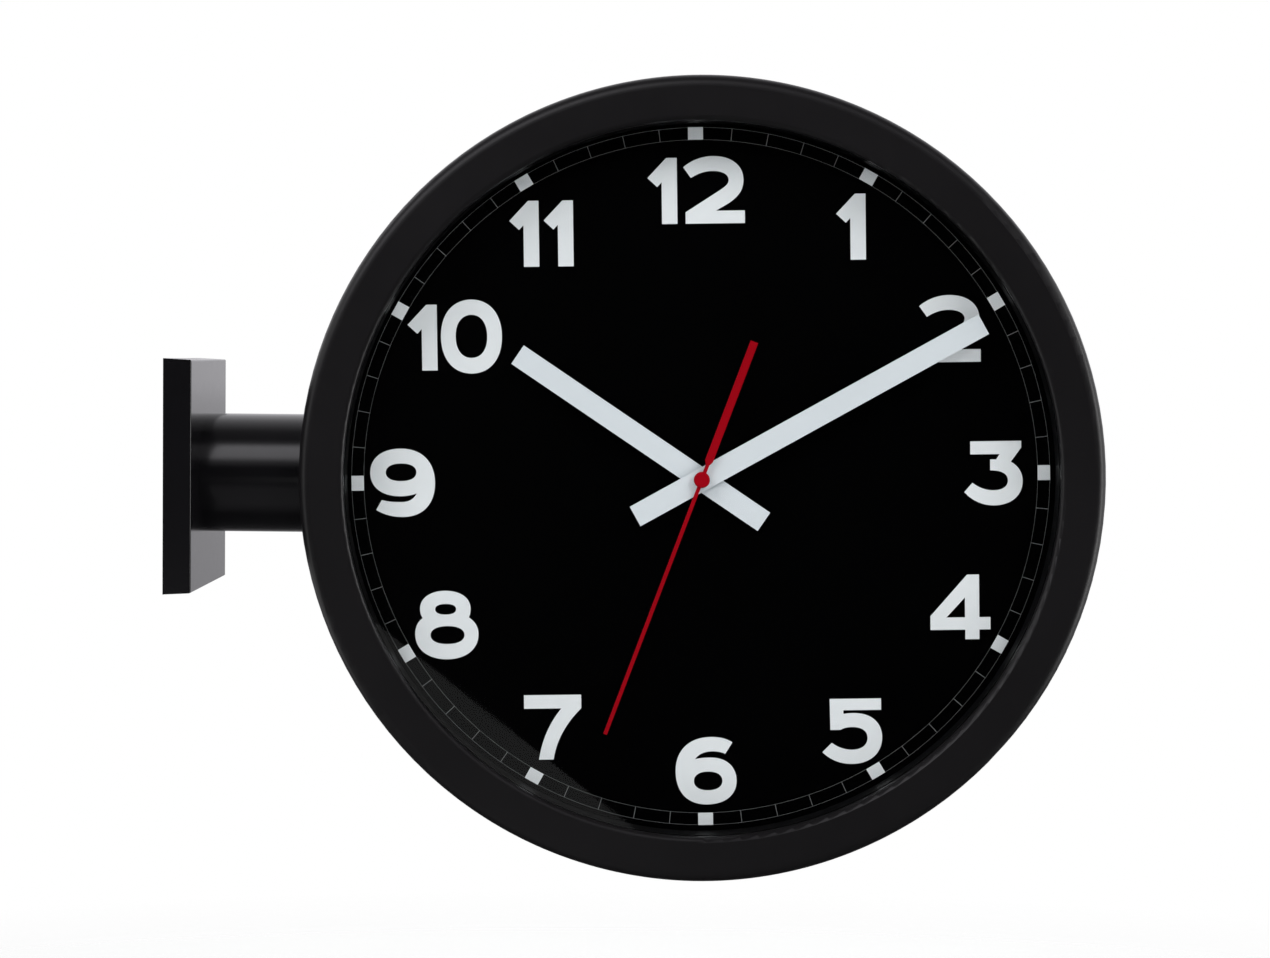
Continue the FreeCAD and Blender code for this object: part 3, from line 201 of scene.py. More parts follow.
def painted(name, colour, roughness, grain, peel, vary=0.12, shine=0.5):
    """Sprayed or powder-coated finish: fine grain over a broader orange-peel ripple.

    grain and peel each hold a number of features to the metre and their height in millimetres.
    """
    paint = Paint(name)
    patches = paint.ranged(paint.noise(14.0, 4.0), 0.0, 1.0)
    paint.set("Base Color", paint.blend(patches, shade(colour, 1 - vary), shade(colour, 1 + vary)))
    spread = paint.ranged(paint.noise(160.0, 3.0), roughness * 0.93, roughness * 1.07)
    paint.set("Roughness", spread)
    ripple = paint.bump(paint.noise(peel[0], 1.5), peel[1])
    paint.set("Normal", paint.bump(paint.noise(grain[0], 2.0, 0.6), grain[1], 1.0, ripple))
    paint.set("Specular IOR Level", shine)
    return paint.material


def metal(name, colour, roughness, stretch, scratch=0.004, patch=30.0):
    """Metal with fine lines along one direction and a slight cloudiness."""
    paint = Paint(name)
    lines = paint.noise(700.0, 4.0, 0.6, paint.stretched(stretch))
    clouds = paint.ranged(paint.noise(patch, 4.0), 0.0, 1.0)
    paint.set("Base Color", paint.blend(clouds, shade(colour, 0.88), shade(colour, 1.06)))
    paint.set("Metallic", 1.0)
    paint.set("Roughness", paint.ranged(lines, roughness * 0.8, roughness * 1.25))
    paint.set("Normal", paint.bump(lines, scratch))
    return paint.material


def moulded(name, colour, roughness, grain=2600.0, height=0.012):
    """Injection-moulded plastic with a spark-eroded grain."""
    paint = Paint(name)
    tone = paint.ranged(paint.noise(60.0, 3.0), 0.0, 1.0)
    paint.set("Base Color", paint.blend(tone, shade(colour, 0.92), shade(colour, 1.08)))
    paint.set("Roughness", paint.ranged(paint.noise(900.0, 2.0), roughness * 0.9, roughness * 1.1))
    paint.set("Normal", paint.bump(paint.noise(grain, 2.0, 0.7), height))
    return paint.material


GLASS_IOR = 1.45
GLASS_TINT = (0.985, 0.99, 0.988)


def glass_material():
    """Clear float glass: it shows what is behind it and mirrors a little of what is in front."""
    paint = Paint("clear_glass")
    paint.nodes.remove(paint.shader)
    clear = paint.nodes.new("ShaderNodeBsdfTransparent")
    clear.inputs["Color"].default_value = (*GLASS_TINT, 1.0)
    mirror = paint.nodes.new("ShaderNodeBsdfGlossy")
    paint.join(paint.ranged(paint.noise(40.0, 5.0, 0.6), 0.0, 0.03), mirror.inputs["Roughness"])
    fresnel = paint.nodes.new("ShaderNodeFresnel")
    fresnel.inputs["IOR"].default_value = GLASS_IOR
    inside = paint.nodes.new("ShaderNodeNewGeometry").outputs["Backfacing"]
    outside = paint.math("SUBTRACT", 1.0, inside)
    mix = paint.nodes.new("ShaderNodeMixShader")
    paint.join(paint.math("MULTIPLY", fresnel.outputs[0], outside), mix.inputs[0])
    paint.join(clear.outputs[0], mix.inputs[1])
    paint.join(mirror.outputs[0], mix.inputs[2])
    paint.join(mix.outputs[0], paint.output.inputs["Surface"])
    return paint.material


def between(paint, value, low, high):
    """1 where a number lies between two limits and 0 elsewhere."""
    above = paint.math("GREATER_THAN", value, low)
    below = paint.math("LESS_THAN", value, high)
    return paint.math("MULTIPLY", above, below)


BATTERY_CAP = 1.2
BATTERY_BAND = 12.5
SLEEVE_BLACK = ((0.018, 0.02, 0.024), (0.026, 0.028, 0.033))
SLEEVE_COPPER = ((0.5, 0.26, 0.06), (0.62, 0.34, 0.09))
SLEEVE_METALLIC = 0.25
BARE_CAP = (0.62, 0.61, 0.58)


def battery_material(side):
    """Shrink sleeve in two plain colours, with bare metal at both ends."""
    low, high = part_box(f"{side}_battery")
    paint = Paint(f"{side}_battery_sleeve")
    along = paint.axis("X")
    plus_at_high = side == "front"
    band_low = high.x - BATTERY_BAND * MM if plus_at_high else low.x
    band_high = high.x if plus_at_high else low.x + BATTERY_BAND * MM
    band = between(paint, along, band_low, band_high)
    sleeve = between(paint, along, low.x + BATTERY_CAP * MM, high.x - BATTERY_CAP * MM)
    streaks = paint.ranged(paint.noise(90.0, 3.0), 0.0, 1.0)
    body = paint.blend(streaks, *SLEEVE_BLACK)
    tip = paint.blend(streaks, *SLEEVE_COPPER)
    paint.set("Base Color", paint.blend(sleeve, BARE_CAP, paint.blend(band, body, tip)))
    duller = paint.math("MULTIPLY", sleeve, 1.0 - SLEEVE_METALLIC)
    paint.set("Metallic", paint.math("SUBTRACT", 1.0, duller))
    paint.set("Roughness", paint.ranged(paint.noise(300.0, 3.0), 0.2, 0.34))
    paint.set("Normal", paint.bump(paint.noise(500.0, 2.0), 0.01))
    return paint.material


COIL_START = 3.6
COIL_LENGTH = 13.0
COIL_WIRE = ((0.34, 0.12, 0.04), (0.75, 0.36, 0.17))
STATOR_STEEL = ((0.4, 0.4, 0.4), (0.55, 0.55, 0.54))


def motor_material(side):
    """Enamelled copper winding on the coil, silicon steel on the rest of the stator."""
    low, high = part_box(f"{side}_step_motor")
    paint = Paint(f"{side}_motor_coil")
    at_low_end = low.x + COIL_START * MM
    at_high_end = high.x - (COIL_START + COIL_LENGTH) * MM
    coil_low = at_low_end if side == "front" else at_high_end
    coil = between(paint, paint.axis("X"), coil_low, coil_low + COIL_LENGTH * MM)
    wire = paint.nodes.new("ShaderNodeTexWave")
    wire.inputs["Scale"].default_value = 1800.0
    wire.inputs["Distortion"].default_value = 0.6
    paint.join(paint.place, wire.inputs["Vector"])
    copper = paint.blend(wire.outputs["Fac"], *COIL_WIRE)
    rolled = paint.noise(500.0, 4.0, 0.6, paint.stretched((0.1, 1.0, 1.0)))
    steel = paint.blend(rolled, *STATOR_STEEL)
    paint.set("Base Color", paint.blend(coil, steel, copper))
    paint.set("Metallic", 1.0)
    paint.set("Roughness", paint.ranged(rolled, 0.28, 0.4))
    paint.set("Normal", paint.bump(paint.math("MULTIPLY", wire.outputs["Fac"], coil), 0.03))
    return paint.material


def board_material():
    """Green solder mask with darker gaps between its tracks."""
    paint = Paint("board_green")
    tracks = paint.nodes.new("ShaderNodeTexBrick")
    tracks.inputs["Color1"].default_value = (0.012, 0.13, 0.05, 1.0)
    tracks.inputs["Color2"].default_value = (0.016, 0.16, 0.06, 1.0)
    tracks.inputs["Mortar"].default_value = (0.006, 0.075, 0.03, 1.0)
    tracks.inputs["Scale"].default_value = 260.0
    tracks.inputs["Mortar Size"].default_value = 0.05
    turned = paint.nodes.new("ShaderNodeMapping")
    turned.inputs["Rotation"].default_value = (math.pi / 2, 0.0, 0.0)
    paint.join(paint.place, turned.inputs["Vector"])
    paint.join(turned.outputs["Vector"], tracks.inputs["Vector"])
    paint.set("Base Color", tracks.outputs["Color"])
    paint.set("Roughness", paint.ranged(paint.noise(800.0), 0.22, 0.32))
    paint.set("Normal", paint.bump(tracks.outputs["Fac"], 0.02))
    return paint.material


SHARED = {
    "gloss_black": painted(
        "gloss_black",
        (0.0044, 0.0042, 0.005),
        roughness=0.16,
        grain=(1800.0, 0.0012),
        peel=(220.0, 0.012),
    ),
    "satin_black": painted(
        "satin_black",
        (0.0068, 0.0063, 0.007),
        roughness=0.34,
        grain=(2400.0, 0.006),
        peel=(300.0, 0.012),
        shine=0.32,
    ),
    "matt_black": painted(
        "matt_black",
        (0.0035, 0.0035, 0.0037),
        roughness=0.55,
        grain=(2400.0, 0.01),
        peel=(400.0, 0.01),
        shine=0.2,
    ),
    "dial_black": painted(
        "dial_black",
        (0.0003, 0.0003, 0.0004),
        roughness=0.5,
        grain=(3000.0, 0.004),
        peel=(90.0, 0.004),
        shine=0.03,
    ),
    "hand_white": painted(
        "hand_white",
        (0.66, 0.7, 0.74),
        roughness=0.42,
        grain=(2200.0, 0.004),
        peel=(300.0, 0.006),
        vary=0.015,
        shine=0.3,
    ),
    "hand_red": painted(
        "hand_red",
        (0.31, 0.0006, 0.006),
        roughness=0.4,
        grain=(2200.0, 0.004),
        peel=(300.0, 0.006),
        vary=0.05,
        shine=0.06,
    ),
    "glass": glass_material(),
    "zinc_steel": metal("zinc_steel", (0.5, 0.51, 0.53), 0.38, (1.0, 1.0, 0.15), patch=90.0),
    "black_steel": metal("black_steel", (0.035, 0.034, 0.033), 0.36, (1.0, 1.0, 1.0)),
    "spring_steel": metal("spring_steel", (0.6, 0.59, 0.56), 0.22, (1.0, 1.0, 0.1)),
    "aluminium": metal("aluminium", (0.72, 0.72, 0.73), 0.34, (1.0, 0.1, 1.0)),
    "brass": metal("brass", (0.78, 0.56, 0.24), 0.26, (1.0, 0.2, 1.0)),
    "black_plastic": moulded("black_plastic", (0.016, 0.016, 0.017), 0.48),
    "white_plastic": moulded("white_plastic", (0.74, 0.73, 0.69), 0.4, height=0.004),
    "board_green": board_material(),
}


def dress_frame():
    """Give every CAD node the material of its slot in the record."""
    for row in frame["record"]["subparts"]:
        name = row["node"]
        slot = row["material_slot"]
        side = name.split("_")[0]
        if slot == "battery_sleeve":
            material = battery_material(side)
        elif slot == "motor_copper":
            material = motor_material(side)
        else:
            material = SHARED[slot]
        node = frame["nodes"][name]
        if not node.material_slots:
            node.data.materials.append(material)
        for place in node.material_slots:
            place.material = material


dress_frame()

# ---------------------------------------------------------------------------------------------
# the dials' print
# ---------------------------------------------------------------------------------------------

CASE_CENTRE_X = 251.0
DIAL_FRONT = 22.5
INK_THICKNESS = 0.06
# How far the front print is turned, in degrees anticlockwise, and set off to the right and up.
FRONT_TRACK_TURN = 1.47
FRONT_TRACK_SHIFT = (-0.4, 0.5)
FRONT_NUMERALS_TURN = 1.3
FRONT_NUMERALS_SHIFT = (-0.35, 1.57)
TRACK_OUTER = 166.1
TRACK_INNER = 160.3
CIRCLE_LINE = 0.12
TICK_LINE = 0.3
BLOCK_WIDTH = 7.1
BLOCK_LOW = 160.3
BLOCK_HIGH = 166.2
HOUR_ANGLE = 30
MINUTE_ANGLE = 6
CURVE_STEPS = 14
ARC_STEPS = 24

# Outlines of the numerals, in millimetres from each glyph's left foot: moves, lines and curves.
GLYPHS = {
    "0": (
        "M 14.5 33.4 C 22.8 33.4 29 27.2 29 15.9 C 29 4.6 22.8 -1.7 14.5 -1.7"
        " C 6.2 -1.7 0 4.6 0 15.9 C 0 27.2 6.2 33.4 14.5 33.4",
        "M 14.5 26.2 C 10.2 26.2 7 22.6 7 15.9 C 7 9.2 10.2 5.7 14.5 5.7"
        " C 18.8 5.7 22 9.2 22 15.9 C 22 22.6 18.8 26.2 14.5 26.2",
    ),
    "1": ("M 2.3 31.2 L 7.3 31.2 L 7.3 0 L 0 0 L 0 19.7 L -2.1 17.5 L -6.7 21.8",),
    "2": (
        "M -0.9 26.7 C 2.8 29.8 7.8 31.8 13.2 31.8 C 21.8 31.8 27.6 27.4 27.6 20.6"
        " C 27.6 15.7 25.3 12.5 20 9.2 L 14.4 6 L 28.1 6 L 28.1 0 L 0 0 L 0 5.4 L 16.6 15.8"
        " C 19.4 17.6 20.6 18.8 20.6 20.5 C 20.6 23.1 17.6 24.8 13 24.8 C 9.5 24.8 6 23.7 2.7 21.6",
    ),
    "3": (
        "M 3 30.9 L 27.2 30.9 L 27.2 27.7 L 22.2 21 C 25.8 19 27.8 15.8 27.8 11.8"
        " C 27.8 5 22.4 0.3 14.2 0.3 C 8.6 0.3 3.6 2.7 0 6.8 L 3.9 11.2"
        " C 6.8 8.9 10.2 7.5 13.9 7.5 C 18.2 7.5 20.8 9.2 20.8 12.1 C 20.8 15.3 17.8 17 12.4 17"
        " L 12.4 22.2 L 15.3 22.2 L 16.9 24.7 L 3 24.7",
    ),
    "4": (
        "M 17.6 30.9 L 23.3 30.9 L 23.3 10.5 L 28.6 10.5 L 28.6 4.6 L 23.3 4.6 L 23.3 0"
        " L 16.6 0 L 16.6 4.6 L 0 4.6 L 0 11.2",
        "M 16.5 20 L 7.6 10.5 L 16.5 10.5",
    ),
    "5": (
        "M 3.7 31 L 28.2 31 L 28.2 25.5 L 10.2 25.5 L 10.2 23.7 C 11.8 24 13.4 24.1 15 24.1"
        " C 23.2 24.1 28.6 19.7 28.6 12.4 C 28.6 4.8 22.9 -0.3 14.2 -0.3 C 8.5 -0.3 3.6 1.8 0 5.5"
        " L 4.5 9.9 C 7.4 7.7 10.8 6.5 14.2 6.5 C 18.8 6.5 21.6 8.7 21.6 12.1"
        " C 21.6 15.5 18.9 17.4 14.2 17.4 C 12.1 17.4 10.2 17 8.7 16.1 L 3.9 16.1",
    ),
    "6": (
        "M 27.3 29.3 C 24.4 31.2 21 32 17 32 C 6.4 32 0 25.6 0 15.6 C 0 5.7 5.4 -0.4 14.9 -0.4"
        " C 23.4 -0.4 29.1 3.9 29.1 10.9 C 29.1 17.9 24 22.1 16.8 22.1"
        " C 13.9 22.1 11.3 21.9 9.3 21.4 C 11 23.8 13.8 25.1 17.6 25.1 C 20 25.1 22 24.7 23.8 23.8",
        "M 15.5 15.4 C 19.8 15.4 22.3 13.7 22.3 10.9 C 22.3 8.1 19.8 6.4 15.5 6.4"
        " C 11.2 6.4 8.7 8.1 8.7 10.9 C 8.7 13.7 11.2 15.4 15.5 15.4",
    ),
    "7": (
        "M 0 31 L 27.3 31 L 27.3 24.5 C 20.2 17.6 15.2 9.4 13.8 0 L 6.8 0"
        " C 8.3 9.2 11.9 17.4 17.8 24.5 L 0 24.5",
    ),
    "8": (
        "M 14.5 32.2 C 21.7 32.2 26.6 28.8 26.6 23.6 C 26.6 21.9 26.3 20.5 25.7 19.3"
        " C 28.6 17.4 30.2 14.7 30.2 11.3 C 30.2 4.2 24.2 -0.6 15.2 -0.6 C 6.1 -0.6 0 4.2 0 11.3"
        " C 0 14.7 1.1 17.4 3.7 19.3 C 2.8 20.5 2.5 21.9 2.5 23.6 C 2.5 28.8 7.4 32.2 14.5 32.2",
        "M 14.7 25.9 C 17.9 25.9 19.7 25 19.7 23.4 C 19.7 21.7 17.9 20.8 14.7 20.8"
        " C 11.5 20.8 9.7 21.7 9.7 23.4 C 9.7 25 11.5 25.9 14.7 25.9",
        "M 15.4 15.3 C 20.5 15.3 23.5 13.7 23.5 11 C 23.5 8.3 20.5 6.7 15.4 6.7"
        " C 10.3 6.7 7.3 8.3 7.3 11 C 7.3 13.7 10.3 15.3 15.4 15.3",
    ),
    "9": (
        "M 14.5 32.2 C 24.6 32.2 30.8 25.9 30.8 15.9 C 30.8 6.1 25.2 -0.4 15.5 -0.4"
        " C 10.6 -0.4 6.2 0.8 2.6 3.1 L 5.3 7.8 C 8.4 6.9 11.6 6.7 14.9 6.7"
        " C 18.2 6.7 20.6 8 22 10.8 C 19.8 9.9 17.2 9.5 14.3 9.5 C 5.6 9.5 0 13.8 0 20.7"
        " C 0 27.7 5.6 32.2 14.5 32.2",
        "M 14.7 25.1 C 19.3 25.1 22 23.5 22 20.9 C 22 18.2 19.3 16.7 14.7 16.7"
        " C 10.1 16.7 7.4 18.2 7.4 20.9 C 7.4 23.5 10.1 25.1 14.7 25.1",
    ),
}

# Each numeral's glyphs, with their distance from the first one's left foot, and the numeral's
# middle on the dial.
NUMERALS = {
    "12": ((("1", 0.0), ("2", 11.2)), (-0.6, 135.5)),
    "1": ((("1", 0.0),), (72.6, 117.2)),
    "2": ((("2", 0.0),), (119.1, 68.4)),
    "3": ((("3", 0.0),), (139.2, -0.6)),
    "4": ((("4", 0.0),), (123.0, -64.2)),
    "5": ((("5", 0.0),), (70.9, -123.1)),
    "6": ((("6", 0.0),), (0.9, -141.2)),
    "7": ((("7", 0.0),), (-72.0, -119.4)),
    "8": ((("8", 0.0),), (-122.0, -69.8)),
    "9": ((("9", 0.0),), (-141.9, -1.6)),
    "10": ((("1", 0.0), ("0", 9.1)), (-116.0, 67.5)),
    "11": ((("1", 0.0), ("1", 16.3)), (-74.2, 115.8)),
}


def dial_matrix(side, turn_degrees, shift):
    """From a print's own frame in millimetres to the clock's frame in metres."""
    sign = 1 if side == "front" else -1
    axes = Matrix(((sign, 0, 0, CASE_CENTRE_X), (0, 0, -sign, 0), (0, 1, 0, 0), (0, 0, 0, 1)))
    set_off = Matrix.Translation((*shift, 0.0))
    turn = Matrix.Rotation(math.radians(turn_degrees), 4, "Z")
    return Matrix.Scale(MM, 4) @ axes @ set_off @ turn


def new_piece(name, mesh_maker, matrix, body, material):
    """A piece whose mesh is drawn by mesh_maker in a dial's frame and set in the clock's frame."""
    bm = bmesh.new()
    mesh_maker(bm)
    bmesh.ops.transform(bm, matrix=matrix, verts=bm.verts)
    bmesh.ops.recalc_face_normals(bm, faces=bm.faces)
    mesh = bpy.data.meshes.new(name)
    bm.to_mesh(mesh)
    bm.free()
    piece = bpy.data.objects.new(name, mesh)
    bpy.context.scene.collection.objects.link(piece)
    mesh.materials.append(material)
    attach(piece, body)
    return piece


def ribbon(bm, inner, outer, low, high):
    """A closed flat strip between two rows of points, from one height to another."""
    rows = []
    for (x_in, y_in), (x_out, y_out) in zip(inner, outer):
        rows.append(
            [
                bm.verts.new((x_in, y_in, low)),
                bm.verts.new((x_out, y_out, low)),
                bm.verts.new((x_out, y_out, high)),
                bm.verts.new((x_in, y_in, high)),
            ]
        )
    for first, second in zip(rows, rows[1:]):
        for corner in range(4):
            after = (corner + 1) % 4
            bm.faces.new((first[corner], first[after], second[after], second[corner]))
    bm.faces.new(rows[0])
    bm.faces.new(list(reversed(rows[-1])))


def at(radius, clockwise_degrees, aside=0.0):
    """The point at a radius and clock angle, and so far to its right."""
    angle = math.radians(clockwise_degrees)
    x = radius * math.sin(angle) + aside * math.cos(angle)
    y = radius * math.cos(angle) - aside * math.sin(angle)
    return x, y


def arc(radius, start, end):
    """Points along a circle between two clock angles."""
    return [at(radius, start + (end - start) * step / ARC_STEPS) for step in range(ARC_STEPS + 1)]


def draw_track(bm):
    """Two thin circles between the hour blocks, with a line across them at every minute."""
    low = DIAL_FRONT
    high = DIAL_FRONT + INK_THICKNESS
    half = CIRCLE_LINE / 2
    for hour in range(12):
        for radius in (TRACK_INNER, TRACK_OUTER):
            past_block = math.degrees(math.asin(BLOCK_WIDTH / 2 / radius))
            start = hour * HOUR_ANGLE + past_block
            end = hour * HOUR_ANGLE + HOUR_ANGLE - past_block
            inner = arc(radius - half, start, end)
            outer = arc(radius + half, start, end)
            ribbon(bm, inner, outer, low, high)
    for minute in range(60):
        if minute % 5 == 0:
            continue
        sides = []
        for aside in (-TICK_LINE / 2, TICK_LINE / 2):
            ends = (TRACK_INNER + half, TRACK_OUTER - half)
            sides.append([at(radius, minute * MINUTE_ANGLE, aside) for radius in ends])
        ribbon(bm, sides[0], sides[1], low, high)


def draw_blocks(bm):
    """A square block at each hour."""
    low = DIAL_FRONT
    high = DIAL_FRONT + INK_THICKNESS
    for hour in range(12):
        sides = []
        for aside in (-BLOCK_WIDTH / 2, BLOCK_WIDTH / 2):
            ends = (BLOCK_LOW, BLOCK_HIGH)
            sides.append([at(radius, hour * HOUR_ANGLE, aside) for radius in ends])
        ribbon(bm, sides[0], sides[1], low, high)


SAME_POINT = 1e-6


def outline_points(path):
    """The corners of an outline written as moves, lines and curves."""
    words = path.split()
    points = []
    place = 0
    while place < len(words):
        kind = words[place]
        count = 6 if kind == "C" else 2
        numbers = [float(word) for word in words[place + 1 : place + 1 + count]]
        place += 1 + count
        if kind != "C":
            points.append(tuple(numbers))
            continue
        x0, y0 = points[-1]
        x1, y1, x2, y2, x3, y3 = numbers
        for step in range(1, CURVE_STEPS + 1):
            t = step / CURVE_STEPS
            a = (1 - t) ** 3
            b = 3 * (1 - t) ** 2 * t
            c = 3 * (1 - t) * t * t
            d = t**3
            x = a * x0 + b * x1 + c * x2 + d * x3
            y = a * y0 + b * y1 + c * y2 + d * y3
            points.append((x, y))
    if math.dist(points[0], points[-1]) < SAME_POINT:
        points.pop()
    return points


def draw_outlines(bm, loops, low, high):
    """A flat shape between two heights whose outline and holes are closed loops of points."""
    edges = []
    for loop in loops:
        verts = [bm.verts.new((x, y, low)) for x, y in loop]
        edges += [bm.edges.new((verts[i - 1], verts[i])) for i in range(len(verts))]
    faces = bmesh.ops.triangle_fill(bm, edges=edges, use_beauty=True)["geom"]
    faces = [item for item in faces if isinstance(item, bmesh.types.BMFace)]
    raised = bmesh.ops.extrude_face_region(bm, geom=faces)["geom"]
    top = [item for item in raised if isinstance(item, bmesh.types.BMVert)]
    bmesh.ops.translate(bm, vec=(0, 0, high - low), verts=top)


def draw_numerals(bm):
    """The twelve upright numerals."""
    for glyphs, middle in NUMERALS.values():
        figures = []
        for glyph, shift in glyphs:
            loops = [outline_points(path) for path in GLYPHS[glyph]]
            figures.append([[(x + shift, y) for x, y in loop] for loop in loops])
        points = [point for figure in figures for loop in figure for point in loop]
        x_middle = (min(x for x, _ in points) + max(x for x, _ in points)) / 2
        y_middle = (min(y for _, y in points) + max(y for _, y in points)) / 2
        x_move = middle[0] - x_middle
        y_move = middle[1] - y_middle
        for figure in figures:
            loops = [[(x + x_move, y + y_move) for x, y in loop] for loop in figure]
            draw_outlines(bm, loops, DIAL_FRONT, DIAL_FRONT + INK_THICKNESS)


INK = (0.755, 0.78, 0.805)
FINE_LINE_INK = (0.165, 0.17, 0.175)
INK_VARIATION = 0.025


def print_material(name, colour):
    """Screen-printed ink with the faint mottle of its mesh."""
    paint = Paint(name)
    tone = paint.ranged(paint.noise(35.0, 4.0), 0.0, 1.0)
    darkest = shade(colour, 1 - INK_VARIATION)
    lightest = shade(colour, 1 + INK_VARIATION)
    paint.set("Base Color", paint.blend(tone, darkest, lightest))
    paint.set("Roughness", paint.ranged(paint.noise(400.0, 2.0), 0.5, 0.6))
    paint.set("Normal", paint.bump(paint.cells(3000.0), 0.004))
    return paint.material


def print_dials():
    """Track, blocks and numerals on both dials, a little off and turned on the front one."""
    white = print_material("dial_ink", INK)
    grey = print_material("fine_line_ink", FINE_LINE_INK)
    track_place = (FRONT_TRACK_TURN, FRONT_TRACK_SHIFT)
    numerals_place = (FRONT_NUMERALS_TURN, FRONT_NUMERALS_SHIFT)
    rear_place = (0.0, (0.0, 0.0))
    drawings = (
        ("minute_track", draw_track, grey, track_place),
        ("hour_blocks", draw_blocks, white, track_place),
        ("numerals", draw_numerals, white, numerals_place),
    )
    for name, draw, ink, front_place in drawings:
        for side, place in (("front", front_place), ("rear", rear_place)):
            matrix = dial_matrix(side, *place)
            new_piece(f"{side}_{name}", draw, matrix, f"{side}_insert", ink)


print_dials()

# ---------------------------------------------------------------------------------------------
# light, floor and background, in metres
# ---------------------------------------------------------------------------------------------

LIGHT_LEVEL = 0.5
ROOM_TINT = (0.97, 0.985, 1.0)
WHITE = (1.0, 1.0, 1.0)
FLOOR_DROP = 0.62
FLOOR_RADIUS = 2.2
FLOOR_FADE = 1.3
FLOOR_SIDES = 64
FLOOR_TONES = ((0.9, 0.9, 0.9), (0.92, 0.92, 0.92))
FLOOR_ROUGHNESS = 0.9


def white_for_viewer(tree):
    """1 for rays that come from the camera, from a mirror or through glass, and 0 for the rest."""
    path = tree.nodes.new("ShaderNodeLightPath")
    last = path.outputs["Is Camera Ray"]
    for name in ("Is Glossy Ray", "Is Transmission Ray"):
        most = tree.nodes.new("ShaderNodeMath")
        most.operation = "MAXIMUM"
        tree.links.new(last, most.inputs[0])
        tree.links.new(path.outputs[name], most.inputs[1])
        last = most.outputs[0]
    return last


def make_world():
    """White surroundings that light the clock at a plain level."""
    world = bpy.data.worlds.new("surroundings")
    bpy.context.scene.world = world
    world.use_nodes = True
    tree = world.node_tree
    plain = tree.nodes["Background"]
    plain.inputs["Color"].default_value = (*ROOM_TINT, 1.0)
    plain.inputs["Strength"].default_value = LIGHT_LEVEL
    white = tree.nodes.new("ShaderNodeBackground")
    white.inputs["Color"].default_value = (*WHITE, 1.0)
    mix = tree.nodes.new("ShaderNodeMixShader")
    tree.links.new(white_for_viewer(tree), mix.inputs[0])
    tree.links.new(plain.outputs[0], mix.inputs[1])
    tree.links.new(white.outputs[0], mix.inputs[2])
    tree.links.new(mix.outputs[0], tree.nodes["World Output"].inputs["Surface"])


def stage_mesh(name, corners, material):
    """A flat stage piece with these corners, in metres."""
    mesh = bpy.data.meshes.new(name)
    mesh.from_pydata([tuple(corner) for corner in corners], [], [tuple(range(len(corners)))])
    mesh.materials.append(material)
    piece = bpy.data.objects.new(name, mesh)
    bpy.context.scene.collection.objects.link(piece)
    return piece


def make_floor():
    """A pale floor below the clock that fades out towards its rim and is clear from below."""
    paint = Paint("pale_floor")
    grain = paint.ranged(paint.noise(6.0, 3.0), 0.0, 1.0)
    paint.set("Base Color", paint.blend(grain, *FLOOR_TONES))
    paint.set("Roughness", FLOOR_ROUGHNESS)
    clear = paint.nodes.new("ShaderNodeBsdfTransparent")
    length = paint.nodes.new("ShaderNodeVectorMath")
    length.operation = "LENGTH"
    paint.join(paint.place, length.inputs[0])
    fade = paint.ranged(length.outputs["Value"], 0.0, 1.0, FLOOR_FADE, FLOOR_RADIUS)
    from_below = paint.nodes.new("ShaderNodeNewGeometry").outputs["Backfacing"]
    mix = paint.nodes.new("ShaderNodeMixShader")
    paint.join(paint.math("MAXIMUM", fade, from_below), mix.inputs[0])
    paint.join(paint.shader.outputs[0], mix.inputs[1])
    paint.join(clear.outputs[0], mix.inputs[2])
    paint.join(mix.outputs[0], paint.output.inputs["Surface"])
    ring = []
    for step in range(FLOOR_SIDES):
        angle = 2 * math.pi * step / FLOOR_SIDES
        ring.append((FLOOR_RADIUS * math.cos(angle), FLOOR_RADIUS * math.sin(angle), 0.0))
    floor = stage_mesh("floor", ring, paint.material)
    floor.visible_glossy = False
    floor.location = (CASE_CENTRE_X * MM, 0.0, -FLOOR_DROP)


# What the clock's gloss sees round it: brightness at each angle round the arm, in degrees from the
# camera's side upwards. The camera's side is dark, a soft box hangs above it and the rear is white.
SURROUND_PEAK = 2.4
SURROUND_TINT = (0.97, 0.955, 1.0)
SURROUND = (
    (-180.0, 0.62),
    (-160.0, 0.3),
    (-140.0, 0.06),
    (-110.0, 0.02),
    (-85.0, 0.01),
    (-60.0, 0.17),
    (-30.0, 0.15),
    (-16.0, 0.01),
    (13.0, 0.004),
    (24.0, 0.4),
    (33.0, 2.1),
    (52.0, 2.4),
    (61.0, 0.3),
    (70.0, 0.08),
    (90.0, 0.15),
    (107.0, 0.55),
    (135.0, 1.1),
    (160.0, 1.1),
    (180.0, 0.8),
)
SURROUND_RADIUS = 2.4
SURROUND_LEFT = -3.2
SURROUND_RIGHT = 3.7
SURROUND_STEPS = 96
# The half on the camera's side is dimmer over the case than over the arm, and fades between these.
SURROUND_ARM_END = -0.1
SURROUND_CASE_START = 0.15
SURROUND_CASE_SHARE = 0.25


def glow_paint(name):
    """A glowing material in the making, and its shader with colour and strength still to be set."""
    paint = Paint(name)
    paint.nodes.remove(paint.shader)
    glow = paint.nodes.new("ShaderNodeEmission")
    paint.join(glow.outputs[0], paint.output.inputs["Surface"])
    paint.material.cycles.emission_sampling = "NONE"
    return paint, glow


def for_gloss_only(card):
    """Let only the clock's gloss see a studio card."""
    card.visible_camera = False
    card.visible_diffuse = False
    card.visible_transmission = False
    card.visible_shadow = False


def make_card(name, corners, brightness):
    """A flat studio card of one brightness."""
    paint, glow = glow_paint(name)
    glow.inputs["Strength"].default_value = brightness
    for_gloss_only(stage_mesh(name, corners, paint.material))


